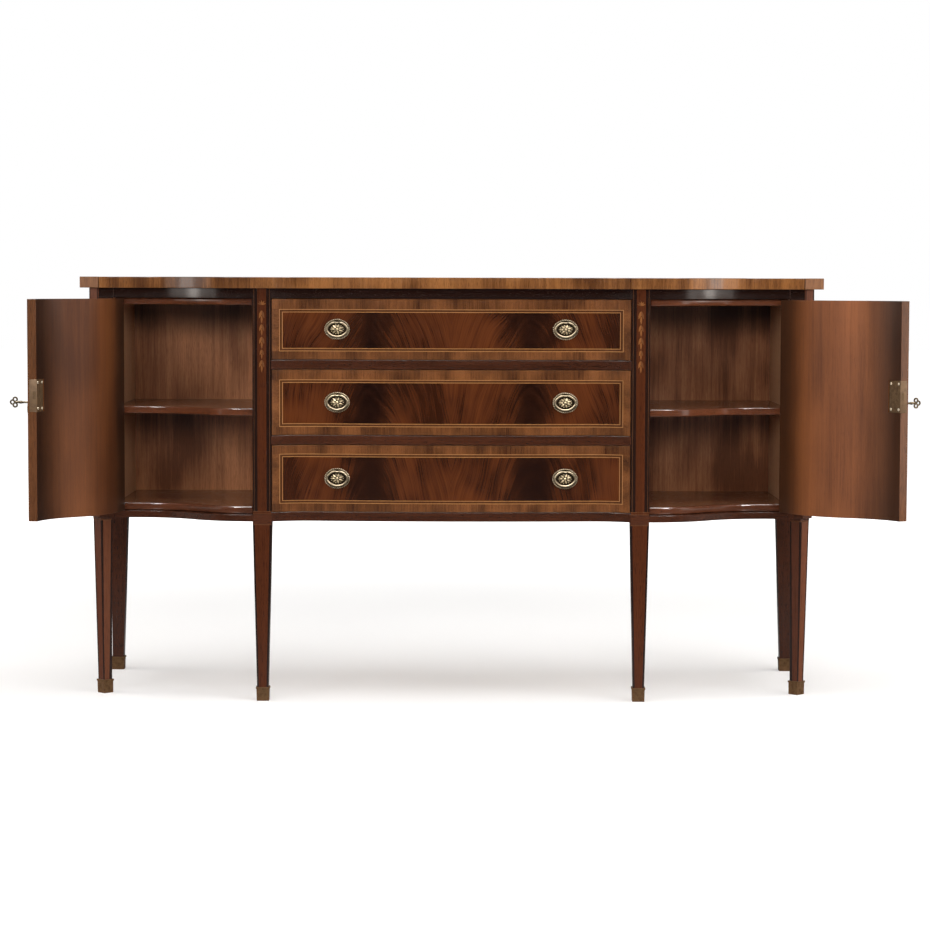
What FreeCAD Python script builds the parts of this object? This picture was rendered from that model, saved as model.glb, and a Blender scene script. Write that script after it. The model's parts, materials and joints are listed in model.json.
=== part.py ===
import FreeCAD, Part
import math
import os

# Serpentine breakfront sideboard, in millimetres.
# X runs to the right, Y to the back and Z up. The origin is on the floor under the middle of the case.

# Case
case_width = 1640.0
case_depth = 532.0
case_height = 923.0
case_bottom = 404.0
top_thick = 25.0
top_overhang = 22.0
top_cant_overhang = 13.5
top_back_overhang = 8.0

# Serpentine front, measured back from the inner posts' face
corner_setback = 102.0
hollow_depth = 22.0
hollow_from_post = 80.0
crown_depth = 8.0
ogee_land = 4.0
hinge_land = 54.5

# Posts, legs and their brass sabots
inner_post = 42.0
inner_post_x = 421.0
inner_foot = 24.0
corner_cant = 23.0
stile_width = 34.5
corner_block = 63.0
corner_leg = 31.0
corner_leg_set = 7.0
corner_foot = 22.0
rear_post = 40.0
rear_foot = 26.0
leg_shoulder = 5.0
sabot_height = 31.0
sabot_wall = 1.5
sabot_base = 3.0
sabot_rim = 4.0
sabot_flare = 1.2

# Panels, boards and rails
end_thick = 20.0
lining_thick = 14.0
divider_thick = 18.0
back_thick = 12.0
back_inset = 12.0
floor_thick = 17.0
ceiling_thick = 15.0
shelf_thick = 16.0
shelf_top = 655.0
shelf_housing = 5.0
board_clear = 5.0
rail_depth = 40.0
top_rail = 22.0
floor_rail = 15.0
drawer_rail = 20.0

# Doors and their butt hinges
door_thick = 20.0
door_gap = 1.5
hinge_height = 60.0
hinge_inset = 70.0
leaf_thick = 2.0
leaf_depth = 16.0
knuckle_radius = 4.0
knuckle_clear = 0.3
knuckle_gap = 0.3
pin_radius = 2.0
running_gap = 0.05
left_door_angle = 99.4
right_door_angle = 117.0

# Half-mortise locks, bolts and keys
lock_length = 40.0
lock_height = 70.0
lock_thick = 12.0
lock_below_key = 20.0
lock_wall = 1.6
lock_proud = 1.0
backset = 18.0
key_height = 677.0
key_shank = 2.2
key_swell = 3.4
key_swell_length = 13.0
key_play = 0.3
key_reach = 28.5
bow_lobe = 6.0
bow_piercing = 2.7
bow_thick = 2.1
bit_reach = 9.5
bit_width = 4.9
bit_thick = 2.4
bolt_thick = 5.0
bolt_height = 15.5
bolt_above_key = 7.5
bolt_rear_gap = 3.4
bolt_throw = 9.0
bolt_play = 0.3
bolt_spare = 3.5
talon_start = 4.2
talon_width = 10.0
talon_clear = 1.0
strike_thick = 1.5
strike_margin = 10.0
escutcheon_width = 28.0
escutcheon_height = 44.0
escutcheon_drop = 13.0
escutcheon_thick = 2.0

# Drawers, counted from the top
top_drawer_less = 8.5
bottom_drawer_more = 6.0
drawer_gap = 1.5
drawer_front_least = 18.0
drawer_side = 10.0
drawer_side_clear = 1.0
drawer_side_drop = 14.0
drawer_bottom = 6.0
drawer_bottom_raise = 8.0
drawer_groove = 4.0
drawer_back = 10.0
drawer_rear_gap = 12.0
runner_width = 24.0
runner_height = 16.0
runner_gap = 0.3

# Oval ring pulls
pull_from_post = 146.0
pull_width = 57.0
pull_height = 46.0
plate_thick = 1.5
rim_width = 3.0
rim_height = 3.5
boss_width = 34.0
boss_height = 25.0
boss_rise = 3.4
bail_wire = 2.2
bail_end_gap = 0.3
bail_foot_gap = 1.3
bail_pin = 1.6
bail_pin_half = 9.0
bail_stand_off = 0.5
ear_start = 3.2
ear_thick = 3.0
ear_radius = 2.6
stem_radius = 2.5
stem_play = 0.3
nut_flats = 9.0
nut_thick = 4.0
stem_end = 2.0

# Share of an oval's lesser half-axis taken by its end radius
oval_ends = 0.6

# Places worked out from the sizes above
half_width = case_width / 2
y_face = -case_depth / 2
y_back = case_depth / 2
y_stile = y_face + corner_setback
y_post = y_face + inner_post
y_panel = y_back - back_inset - back_thick
y_block = y_stile + corner_block
board_inset = door_thick + board_clear
post_in = inner_post_x - inner_post / 2
post_out = inner_post_x + inner_post / 2
stile_in = half_width - corner_cant - stile_width
lining_out = stile_in + lining_thick
divider_out = post_in + divider_thick
leg_top = case_bottom - leg_shoulder
floor_bottom = case_bottom + floor_rail
floor_top = floor_bottom + floor_thick
top_rail_bottom = case_height - top_rail
ceiling_bottom = top_rail_bottom - ceiling_thick

ogee_start = post_out + ogee_land
ogee_end = stile_in - hinge_land
ogee_run = ogee_end - ogee_start
ogee_radius = (ogee_run**2 + corner_setback**2) / (4 * corner_setback)
hollow_x = post_in - hollow_from_post
hollow_radius = (hollow_from_post**2 + hollow_depth**2) / (2 * hollow_depth)
hollow_centre_y = y_face + hollow_depth - hollow_radius
crown_rise = hollow_depth - crown_depth
crown_radius = (hollow_x**2 + crown_rise**2) / (2 * crown_rise) - hollow_radius
crown_centre_y = y_face + crown_depth + crown_radius

door_in = post_out + door_gap
door_out = stile_in - door_gap
door_bottom = floor_bottom + door_gap
door_top = top_rail_bottom - door_gap
hinge_x = stile_in - door_gap / 2
hinge_y = y_stile - knuckle_radius - knuckle_clear


def vec(x, y, z=0.0):
    return FreeCAD.Vector(x, y, z)


def line(start, end):
    return Part.LineSegment(vec(*start), vec(*end)).toShape()


def arc(start, end, centre):
    """The shorter arc from start to end round a centre."""
    to_start = vec(*start) - vec(*centre)
    to_end = vec(*end) - vec(*centre)
    middle = vec(*centre) + (to_start + to_end).normalize() * to_start.Length
    return Part.Arc(vec(*start), middle, vec(*end)).toShape()


def path(*points):
    """Straight edges through the points."""
    return [line(a, b) for a, b in zip(points, points[1:])]


def prism(edges, low, high):
    """A plan outline raised from one height to another."""
    face = Part.Face(Part.Wire(Part.__sortEdges__(edges)))
    face.translate(vec(0, 0, low))
    return face.extrude(vec(0, 0, high - low))


def box(x0, x1, y0, y1, z0, z1):
    return Part.makeBox(x1 - x0, y1 - y0, z1 - z0, vec(x0, y0, z0))


def rod(radius, start, end):
    """A cylinder from one point to another."""
    along = vec(*end) - vec(*start)
    return Part.makeCylinder(radius, along.Length, vec(*start), along)


def join(first, *others):
    return first.fuse(list(others)).removeSplitter()


def mirrored(shape):
    return shape.mirror(vec(0, 0), vec(1, 0))


def oval_points(long, short):
    """Half-axes, end radius, flank radius and the corner point of a four-arc oval."""
    a, b = long / 2, short / 2
    end = oval_ends * b
    flank = ((a - end) ** 2 + b**2 - end**2) / (2 * (b - end))
    reach = flank / (flank - end)
    corner = ((a - end) * reach, (flank - b) * (reach - 1))
    return a, b, end, flank, corner


def oval(width, height, level=0.0):
    """An oval outline, width across and height up, lying flat at a level."""
    a, b, end, flank, (x, y) = oval_points(max(width, height), min(width, height))
    through = [((x, -y), (a, 0), (x, y)), ((x, y), (0, b), (-x, y))]
    through += [((-x, y), (-a, 0), (-x, -y)), ((-x, -y), (0, -b), (x, -y))]
    wire = Part.Wire([Part.Arc(vec(*p), vec(*q), vec(*r)).toShape() for p, q, r in through])
    wire.rotate(vec(0, 0), vec(0, 0, 1), 90 if height > width else 0)
    wire.translate(vec(0, 0, level))
    return wire


def oval_plate(width, height, thick):
    return Part.Face(oval(width, height)).extrude(vec(0, 0, thick))


def stood_up(shape, x, y, z, slope):
    """Stand a flat fitting up to face the front, turn it to the front's slope and put it in place."""
    shape = shape.copy()
    shape.rotate(vec(0, 0), vec(1, 0), 90)
    shape.rotate(vec(0, 0), vec(0, 0, 1), slope)
    shape.translate(vec(x, y, z))
    return shape


# Front curves


def ogee(out, x_in, x_out):
    """The right-hand ogee, a distance out from the case front, run on flat to x_in and x_out."""
    swell = (ogee_start, y_face + ogee_radius)
    hollow = (ogee_end, y_stile - ogee_radius)
    first = (ogee_start, y_face - out)
    last = (ogee_end, y_stile - out)
    share = (ogee_radius + out) / (2 * ogee_radius)
    turn = (swell[0] + (hollow[0] - swell[0]) * share, swell[1] + (hollow[1] - swell[1]) * share)
    curve = [arc(first, turn, swell), arc(turn, last, hollow)]
    return [line((x_in, first[1]), first)] + curve + [line(last, (x_out, last[1]))]


def ogee_band(x_in, x_out, front, back, low, high):
    """A strip of even thickness that follows the ogee."""
    ends = [
        line((x_in, y_face - front), (x_in, y_face - back)),
        line((x_out, y_stile - front), (x_out, y_stile - back)),
    ]
    return prism(ogee(front, x_in, x_out) + ogee(back, x_in, x_out) + ends, low, high)


def hollow_y(out, x):
    """Depth of the hollow beside the inner post at x."""
    return hollow_centre_y + math.sqrt((hollow_radius - out) ** 2 - (x - hollow_x) ** 2)


def crown_y(x):
    """Depth of the swell in the middle at x."""
    return crown_centre_y - math.sqrt(crown_radius**2 - x**2)


def serpentine(out, end_x):
    """The hollow, swell and hollow between the inner posts, from -end_x to end_x."""
    share = (crown_radius + out) / (crown_radius + hollow_radius)
    turn_x = hollow_x * share
    turn_y = crown_centre_y + (hollow_centre_y - crown_centre_y) * share
    end = (end_x, hollow_y(out, end_x))
    right = arc((turn_x, turn_y), end, (hollow_x, hollow_centre_y))
    swell = arc((-turn_x, turn_y), (turn_x, turn_y), (0, crown_centre_y))
    left = arc((-end[0], end[1]), (-turn_x, turn_y), (-hollow_x, hollow_centre_y))
    return [left, swell, right]


def serpentine_block(half, back, low, high):
    """A piece with the serpentine front, square ends and a flat back."""
    y_end = hollow_y(0, half)
    sides = path((half, y_end), (half, back), (-half, back), (-half, y_end))
    return prism(serpentine(0, half) + sides, low, high)


# Case


def make_top():
    """The top follows the whole front at its overhang, with canted front corners."""
    level = hollow_radius - hollow_depth - top_overhang
    meet = hollow_x + math.sqrt((hollow_radius - top_overhang) ** 2 - level**2)
    cant_turn = top_cant_overhang * math.sqrt(2) - top_overhang
    side = half_width + top_overhang
    rear = y_back + top_back_overhang
    cant_front = (half_width - corner_cant + cant_turn, y_stile - top_overhang)
    cant_side = (side, y_stile + corner_cant - cant_turn)
    wing = [line((meet, y_face - top_overhang), (post_out, y_face - top_overhang))]
    wing += ogee(top_overhang, post_out, cant_front[0])
    wing += path(cant_front, cant_side, (side, rear))
    edges = wing + [mirrored(edge) for edge in wing]
    edges += serpentine(top_overhang, meet) + [line((-side, rear), (side, rear))]
    return prism(edges, case_height, case_height + top_thick)


def leg_square(post, foot, level, lean, grow=0.0):
    """A leg's square section; lean, across and back, keeps faces on those sides upright."""
    share = (level - sabot_base) / (leg_top - sabot_base)
    size = foot + (post - foot) * share
    half = size / 2 + grow
    x, y = (way * (post - size) / 2 for way in lean)
    corners = [(x - half, y - half), (x + half, y - half), (x + half, y + half), (x - half, y + half)]
    return Part.makePolygon([vec(*corner, level) for corner in corners + corners[:1]])


def make_leg(post, foot, lean=(0, 0)):
    """A tapered leg and the brass sabot on its foot, both on the origin."""
    leg = Part.makeLoft(
        [leg_square(post, foot, level, lean) for level in (sabot_base, leg_top)], True, True
    )
    cup = Part.makeLoft(
        [leg_square(post, foot, level, lean, sabot_wall) for level in (0, sabot_height)], True, True
    )
    rim_grow = sabot_wall + sabot_flare
    rim_levels = (sabot_height - sabot_rim, sabot_height)
    rim = Part.makeLoft(
        [leg_square(post, foot, level, lean, rim_grow) for level in rim_levels], True, True
    )
    return leg, join(cup, rim).cut(leg)


def move(shape, x, y, turn=0.0):
    shape = shape.copy()
    shape.rotate(vec(0, 0), vec(0, 0, 1), turn)
    shape.translate(vec(x, y))
    return shape


def make_inner_post():
    leg, sabot = make_leg(inner_post, inner_foot)
    x, y = inner_post_x, y_face + inner_post / 2
    post = box(post_in, post_out, y_face, y_post, leg_top, case_height)
    return join(post, move(leg, x, y)), move(sabot, x, y)


def make_corner_post():
    """Hinge stile and canted block above, a leg turned to the cant below."""
    leg, sabot = make_leg(corner_leg, corner_foot, lean=(0, 1))
    outline = path(
        (stile_in, y_stile), (half_width - corner_cant, y_stile),
        (half_width, y_stile + corner_cant), (half_width, y_block),
        (stile_in, y_block), (stile_in, y_stile),
    )
    block = prism(outline, case_bottom, case_height)
    half = corner_leg / 2
    shoulder = box(-half, half, -half, half, leg_top, case_bottom)
    inward = corner_cant / 2 + (half + corner_leg_set) / math.sqrt(2)
    x, y = half_width - inward, y_stile + inward
    return join(block, move(shoulder, x, y, 45), move(leg, x, y, 45)), move(sabot, x, y, 45)


def make_rear_post():
    leg, sabot = make_leg(rear_post, rear_foot, lean=(1, 1))
    x, y = half_width - rear_post / 2, y_back - rear_post / 2
    post = box(
        half_width - rear_post, half_width, y_back - rear_post, y_back, leg_top, case_height
    )
    return join(post, move(leg, x, y)), move(sabot, x, y)


def make_board(x_in, x_out, low, high):
    """A cupboard board with an ogee front edge, notched round the inner post."""
    edges = ogee(-board_inset, post_out, x_out)
    edges += path(
        (x_out, y_stile + board_inset), (x_out, y_panel), (x_in, y_panel),
        (x_in, y_post), (post_out, y_post), (post_out, y_face + board_inset),
    )
    return prism(edges, low, high)


def make_lining():
    """The cupboard's side, flush with the hinge stile in front of it."""
    return box(stile_in, lining_out, y_block, y_panel, floor_bottom, top_rail_bottom)


def make_shelf():
    """A shelf housed in the divider and in the lining behind the hinge stile."""
    low = shelf_top - shelf_thick
    tongue = box(stile_in, stile_in + shelf_housing, y_block, y_panel, low, shelf_top)
    return join(make_board(divider_out - shelf_housing, stile_in, low, shelf_top), tongue)


# Doors, made closed on the right-hand side


hinge_levels = [
    (door_bottom + hinge_inset - hinge_height / 2, door_bottom + hinge_inset + hinge_height / 2),
    (door_top - hinge_inset - hinge_height / 2, door_top - hinge_inset + hinge_height / 2),
]
y_lock = y_face + door_thick + lock_proud - lock_thick
lock_bottom = key_height - lock_below_key
key_x = door_in + backset
bolt_low = key_height + bolt_above_key
bolt_high = bolt_low + bolt_height
bolt_length = lock_length - lock_wall - bolt_rear_gap
talon_depth = bit_reach - bolt_above_key + talon_clear
y_bolt = y_lock + (lock_thick - bolt_thick) / 2
y_key = y_face + ogee_radius - math.sqrt(ogee_radius**2 - (key_x - ogee_start) ** 2)


def leaf_plate(x0, x1, low, high):
    return box(x0, x1, y_stile, y_stile + leaf_depth, low, high)


def make_hinge(low, high):
    """One butt hinge: case leaf with the outer knuckles, door leaf with the middle one, and the pin."""
    third = (high - low) / 3
    bore = rod(pin_radius + running_gap, (hinge_x, hinge_y, low), (hinge_x, hinge_y, high))

    def leaf(x0, x1, spans):
        pieces = [leaf_plate(x0, x1, low, high)]
        for start, end in spans:
            pieces.append(box(x0, x1, hinge_y, y_stile, start, end))
            pieces.append(rod(knuckle_radius, (hinge_x, hinge_y, start), (hinge_x, hinge_y, end)))
        return join(*pieces).cut(bore)

    case_spans = [(low, low + third), (high - third, high)]
    door_span = [(low + third + knuckle_gap, high - third - knuckle_gap)]
    pin = rod(pin_radius, (hinge_x, hinge_y, low), (hinge_x, hinge_y, high))
    case_leaf = leaf(stile_in, stile_in + leaf_thick, case_spans)
    door_leaf = leaf(door_out - leaf_thick, door_out, door_span)
    return case_leaf, door_leaf, pin


def keyhole(start, end):
    """A round hole with a slot below it for the key's bit."""
    hole = rod(key_shank + key_play, (key_x, start, key_height), (key_x, end, key_height))
    half_slot = bit_thick / 2 + key_play
    low = key_height - bit_reach - key_play
    return join(hole, box(key_x - half_slot, key_x + half_slot, start, end, low, key_height))


def make_lock_case():
    """A brass case let into the door's back and edge, hollow for the bolt and the key's bit."""
    high = lock_bottom + lock_height
    case = box(door_in, door_in + lock_length, y_lock, y_lock + lock_thick, lock_bottom, high)
    hollow = box(
        door_in + lock_wall, door_in + lock_length - lock_wall,
        y_lock + lock_wall, y_lock + lock_thick - lock_wall,
        lock_bottom + lock_wall, high - lock_wall,
    )
    mouth = box(
        door_in, door_in + lock_wall, y_bolt - bolt_play, y_bolt + bolt_thick + bolt_play,
        bolt_low - bolt_play, bolt_high + bolt_play,
    )
    return case.cut(hollow).cut(mouth).cut(keyhole(y_lock, y_lock + lock_wall))


def make_bolt():
    """A flat bolt with the talon notch that the key's bit enters near the end of its turn."""
    bolt = box(
        door_in, door_in + bolt_length, y_bolt, y_bolt + bolt_thick, bolt_low, bolt_high
    )
    start = key_x + talon_start
    talon = box(
        start, start + talon_width, y_bolt, y_bolt + bolt_thick, bolt_low, bolt_low + talon_depth
    )
    return bolt.cut(talon)


def make_key():
    """A bit key with a pierced trefoil bow, its bit hanging down inside the lock."""
    y_tip = y_lock + lock_thick - lock_wall - key_play
    y_bow = y_key - key_reach - bow_lobe
    y_bit = y_bolt + (bolt_thick - bit_width) / 2
    bit = box(
        key_x - bit_thick / 2, key_x + bit_thick / 2, y_bit, y_bit + bit_width,
        key_height - bit_reach, key_height,
    )
    half = key_swell_length / 2
    y_swell = y_key - key_reach + half
    swell = [
        Part.makeCone(key_swell, key_shank, half, vec(key_x, y_swell, key_height), vec(0, way))
        for way in (-1, 1)
    ]
    lobes = [(y_bow, bow_lobe), (y_bow, -bow_lobe), (y_bow - bow_lobe, 0)]
    x0, x1 = key_x - bow_thick / 2, key_x + bow_thick / 2
    discs = [rod(bow_lobe, (x0, y, key_height + z), (x1, y, key_height + z)) for y, z in lobes]
    holes = [rod(bow_piercing, (x0, y, key_height + z), (x1, y, key_height + z)) for y, z in lobes]
    bow = join(*discs).cut(Part.makeCompound(holes))
    neck = rod(key_shank, (key_x, y_bow + bow_piercing, key_height), (key_x, y_tip, key_height))
    return join(bow, neck, *swell, bit)


def make_escutcheon():
    slope = math.degrees(math.asin((key_x - ogee_start) / ogee_radius))
    plate = oval_plate(escutcheon_width, escutcheon_height, escutcheon_thick)
    plate = stood_up(plate, key_x, y_key, key_height - escutcheon_drop, slope)
    return plate.cut(keyhole(y_key - lock_thick, y_key + lock_thick))


def make_door():
    """The ogee door panel, cut for its hinge leaves, lock and keyhole."""
    door = ogee_band(door_in, door_out, 0, -door_thick, door_bottom, door_top)
    cuts = [leaf_plate(door_out - leaf_thick, door_out, low, high) for low, high in hinge_levels]
    cuts.append(
        box(
            door_in, door_in + lock_length, y_lock, y_lock + lock_thick + door_thick,
            lock_bottom, lock_bottom + lock_height,
        )
    )
    cuts.append(keyhole(y_face - door_thick, y_lock))
    return door.cut(cuts)


def make_strike():
    """The strike plate on the inner post and the mortise behind it for the bolt."""
    y0, y1 = y_bolt - bolt_play, y_bolt + bolt_thick + bolt_play
    z0, z1 = bolt_low - bolt_play, bolt_high + bolt_play
    mortise = box(post_out - bolt_throw - bolt_spare, post_out, y0, y1, z0, z1)
    edge = strike_margin / 2
    seat = box(
        post_out - strike_thick, post_out, y0 - edge, y1 + edge,
        z0 - strike_margin, z1 + strike_margin,
    )
    return seat.cut(mortise), mortise, seat


# Drawers


def make_drawer_front(low, high):
    half = post_in - drawer_gap
    front = serpentine_block(half, y_drawer, low + drawer_gap, high - drawer_gap)
    bores = []
    for x in (-pull_x, pull_x):
        middle = (low + high) / 2
        bores.append(rod(stem_radius + stem_play, (x, y_face, middle), (x, y_drawer, middle)))
    return front.cut(bores)


def make_drawer_box(low, high):
    """Sides, back and a bottom board housed in the sides' grooves."""
    outer = post_in - drawer_side_clear
    inner = outer - drawer_side
    y_rear = y_panel - drawer_rear_gap
    base = low + runner_gap
    rim = high - drawer_gap - drawer_side_drop
    floor_low = base + drawer_bottom_raise
    floor_high = floor_low + drawer_bottom
    reach = inner + drawer_groove
    board = box(-reach, reach, y_drawer, y_rear, floor_low, floor_high)
    side = box(inner, outer, y_drawer, y_rear, base, rim).cut(board)
    back = box(-inner, inner, y_rear - drawer_back, y_rear, floor_high, rim)
    return Part.makeCompound([side, mirrored(side), back, board])


def make_runners(level):
    runner = box(post_in - runner_width, post_in, y_post, y_panel, level - runner_height, level)
    return [runner, mirrored(runner)]


# Pulls, made flat: across, up and out


pull_x = post_in - pull_from_post
bail_out = plate_thick + bail_stand_off + bail_wire
bail_width = pull_width - 2 * (rim_width + bail_end_gap + bail_wire)
bail_height = pull_height - 2 * (rim_width + bail_foot_gap + bail_wire)
bail_a, bail_b, bail_end, bail_flank, bail_corner = oval_points(bail_width, bail_height)
bail_flank_y = bail_b - bail_flank
pin_up = bail_flank_y + math.sqrt(bail_flank**2 - bail_pin_half**2)


def make_pull_plate():
    """An oval plate with a raised rim, a domed boss and two ears for the bail."""
    plate = oval_plate(pull_width, pull_height, plate_thick)
    inner_rim = oval_plate(pull_width - 2 * rim_width, pull_height - 2 * rim_width, rim_height)
    rim = oval_plate(pull_width, pull_height, rim_height).cut(inner_rim)
    sections = [
        oval(boss_width * share, boss_height * share, plate_thick + boss_rise * rise)
        for share, rise in ((1.0, 0.0), (0.8, 0.6), (0.5, 1.0))
    ]
    boss = Part.makeLoft(sections, True, True)
    ears = []
    for start in (ear_start, -ear_start - ear_thick):
        end = start + ear_thick
        ears.append(box(start, end, pin_up - ear_radius, pin_up + ear_radius, 0, bail_out))
        ears.append(rod(ear_radius, (start, pin_up, bail_out), (end, pin_up, bail_out)))
    reach = ear_start + ear_thick
    bore = rod(bail_pin + running_gap, (-reach, pin_up, bail_out), (reach, pin_up, bail_out))
    return join(plate, rim, boss, *ears).cut(bore)


def bent_wire(start, end, centre):
    """A stretch of the bail's wire, clockwise round a centre."""
    to_start = vec(*start) - vec(*centre)
    to_end = vec(*end) - vec(*centre)
    along = vec(to_start.y, -to_start.x)
    disc = Part.Face(Part.Wire(Part.makeCircle(bail_wire, vec(*start), along)))
    return disc.revolve(vec(*centre), vec(0, 0, -1), math.degrees(to_start.getAngle(to_end)))


def make_bail():
    """An oval wire ring with a straight pin across its top, which turns in the ears."""
    x, y = bail_corner
    start = (bail_pin_half, pin_up)
    shoulder = bent_wire(start, (x, y), (0, bail_flank_y))
    side = bent_wire((x, y), (x, -y), (bail_a - bail_end, 0))
    foot = bent_wire((x, -y), (-x, -y), (0, -bail_flank_y))
    knob = Part.makeSphere(bail_wire, vec(*start))
    pin = rod(bail_pin, (-bail_pin_half, pin_up, 0), (bail_pin_half, pin_up, 0))
    half = [knob, shoulder, side]
    bail = join(foot, pin, *half, *[mirrored(piece) for piece in half])
    bail.translate(vec(0, 0, bail_out))
    return bail


def make_nut(x, z):
    corner = nut_flats / math.sqrt(3)
    angles = [math.radians(60 * turn) for turn in range(7)]
    points = [vec(x + corner * math.cos(a), y_drawer, z + corner * math.sin(a)) for a in angles]
    nut = Part.Face(Part.makePolygon(points)).extrude(vec(0, nut_thick))
    return nut.cut(rod(stem_radius, (x, y_drawer, z), (x, y_drawer + nut_thick, z)))


def place_pull(flat, side, z):
    """Seat a pull's piece on the swell of a drawer front."""
    slope = math.degrees(math.asin(pull_x / crown_radius))
    placed = stood_up(flat, pull_x, crown_y(pull_x), z, slope)
    return placed if side > 0 else mirrored(placed)


def make_pull_plates(low, high):
    """Both backplates of a drawer with their stems and nuts."""
    z = (low + high) / 2
    pieces = []
    for side in (-1, 1):
        x = side * pull_x
        y_start = crown_y(pull_x) - plate_thick / 2
        stem = rod(stem_radius, (x, y_start, z), (x, y_drawer + nut_thick + stem_end, z))
        pieces.append(join(place_pull(make_pull_plate(), side, z), stem))
        pieces.append(make_nut(x, z))
    return Part.makeCompound(pieces)


y_drawer = y_face + hollow_depth + drawer_front_least
drawer_base = case_bottom + drawer_rail
equal_opening = (top_rail_bottom - drawer_base - 2 * drawer_rail) / 3
top_opening = equal_opening - top_drawer_less
bottom_opening = equal_opening + bottom_drawer_more
upper_rail_top = top_rail_bottom - top_opening
lower_rail_top = drawer_base + bottom_opening + drawer_rail
drawer_spans = {
    "top": (upper_rail_top, top_rail_bottom),
    "middle": (lower_rail_top, upper_rail_top - drawer_rail),
    "bottom": (drawer_base, lower_rail_top - drawer_rail),
}


def save(name, shape):
    shape.exportStep(os.path.join("parts", name + ".step"))


def save_pair(name, right):
    save(name + "_right", right)
    save(name + "_left", mirrored(right))


def swung(shape, side):
    """A right-hand door piece, mirrored for the left, turned to its open rest angle."""
    placed = shape.copy() if side == "right" else mirrored(shape)
    angle = right_door_angle if side == "right" else -left_door_angle
    pivot = vec(hinge_x if side == "right" else -hinge_x, hinge_y)
    placed.rotate(pivot, vec(0, 0, 1), angle)
    return placed


def build_case():
    strike, mortise, seat = make_strike()
    hinges = [make_hinge(low, high) for low, high in hinge_levels]
    inner, inner_sabot = make_inner_post()
    corner, corner_sabot = make_corner_post()
    rear, rear_sabot = make_rear_post()
    seats = [leaf_plate(stile_in, stile_in + leaf_thick, low, high) for low, high in hinge_levels]
    sabots = [inner_sabot, corner_sabot, rear_sabot]
    case_hinges = [piece for case_leaf, door_leaf, pin in hinges for piece in (case_leaf, pin)]
    shelf = make_shelf()
    divider = box(post_in, divider_out, y_post, y_panel, case_bottom, case_height)

    save("top_panel", make_top())
    save_pair("inner_post", inner.cut(mortise).cut(seat))
    save_pair("corner_post", corner.cut(seats))
    save_pair("rear_post", rear)
    save("sabots", Part.makeCompound(sabots + [mirrored(sabot) for sabot in sabots]))
    save_pair(
        "end_panel",
        box(half_width - end_thick, half_width, y_block, y_back - rear_post, case_bottom, case_height),
    )
    save_pair("side_lining", make_lining().cut(shelf))
    save_pair("divider", divider.cut(shelf))
    panel_half = half_width - rear_post
    save(
        "back_panel",
        box(-panel_half, panel_half, y_panel, y_panel + back_thick, case_bottom, case_height),
    )
    save_pair("cupboard_floor", make_board(divider_out, stile_in, floor_bottom, floor_top))
    save_pair("cupboard_ceiling", make_board(divider_out, stile_in, ceiling_bottom, top_rail_bottom))
    save_pair("shelf", shelf)
    save_pair(
        "top_rail", ogee_band(post_out, stile_in, 0, -rail_depth, top_rail_bottom, case_height)
    )
    save_pair(
        "bottom_rail", ogee_band(post_out, stile_in, 0, -rail_depth, case_bottom, floor_bottom)
    )
    save("top_rail_centre", serpentine_block(post_in, y_post, top_rail_bottom, case_height))
    save("bottom_rail_centre", serpentine_block(post_in, y_post, case_bottom, drawer_base))
    for name, level in (("upper", upper_rail_top), ("lower", lower_rail_top)):
        save("drawer_rail_" + name, serpentine_block(post_in, y_post, level - drawer_rail, level))
    runners = [runner for low, high in drawer_spans.values() for runner in make_runners(low)]
    save("drawer_runners", Part.makeCompound(runners))
    save("strike_plates", Part.makeCompound([strike, mirrored(strike)]))
    save("case_hinges", Part.makeCompound(case_hinges + [mirrored(piece) for piece in case_hinges]))
    return hinges


def build_doors(hinges):
    door_leaves = Part.makeCompound([door_leaf for case_leaf, door_leaf, pin in hinges])
    pieces = {
        "door": make_door(),
        "door_hinges": door_leaves,
        "lock_case": make_lock_case(),
        "lock_bolt": make_bolt(),
        "key": make_key(),
        "escutcheon": make_escutcheon(),
    }
    for side in ("left", "right"):
        for name, shape in pieces.items():
            save(name + "_" + side, swung(shape, side))


def build_drawers():
    bail = make_bail()
    for name, (low, high) in drawer_spans.items():
        save("drawer_front_" + name, make_drawer_front(low, high))
        save("drawer_box_" + name, make_drawer_box(low, high))
        save("pull_plates_" + name, make_pull_plates(low, high))
        for side, sign in (("left", -1), ("right", 1)):
            save("bail_" + name + "_" + side, place_pull(bail, sign, (low + high) / 2))


os.makedirs("parts", exist_ok=True)
build_drawers()
build_doors(build_case())
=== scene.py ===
import json
import math

import bpy
from mathutils import Matrix, Vector


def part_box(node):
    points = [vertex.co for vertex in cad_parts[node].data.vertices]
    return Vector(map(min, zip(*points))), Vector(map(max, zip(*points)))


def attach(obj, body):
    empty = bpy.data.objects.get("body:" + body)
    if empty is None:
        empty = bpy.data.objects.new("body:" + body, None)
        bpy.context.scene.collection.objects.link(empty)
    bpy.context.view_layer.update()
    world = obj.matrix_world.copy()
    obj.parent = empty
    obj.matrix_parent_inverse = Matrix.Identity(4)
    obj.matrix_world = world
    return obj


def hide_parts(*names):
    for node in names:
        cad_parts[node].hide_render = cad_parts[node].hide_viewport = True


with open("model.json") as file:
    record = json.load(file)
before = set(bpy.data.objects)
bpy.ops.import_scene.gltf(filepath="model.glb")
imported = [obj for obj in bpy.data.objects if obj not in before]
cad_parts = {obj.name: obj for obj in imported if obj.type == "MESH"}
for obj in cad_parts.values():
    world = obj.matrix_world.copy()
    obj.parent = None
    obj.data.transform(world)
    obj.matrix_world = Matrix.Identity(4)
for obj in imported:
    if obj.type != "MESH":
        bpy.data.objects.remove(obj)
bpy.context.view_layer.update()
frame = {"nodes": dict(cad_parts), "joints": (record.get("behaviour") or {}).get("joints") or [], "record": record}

# Serpentine breakfront sideboard: finishes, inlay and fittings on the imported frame, in metres.

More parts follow.
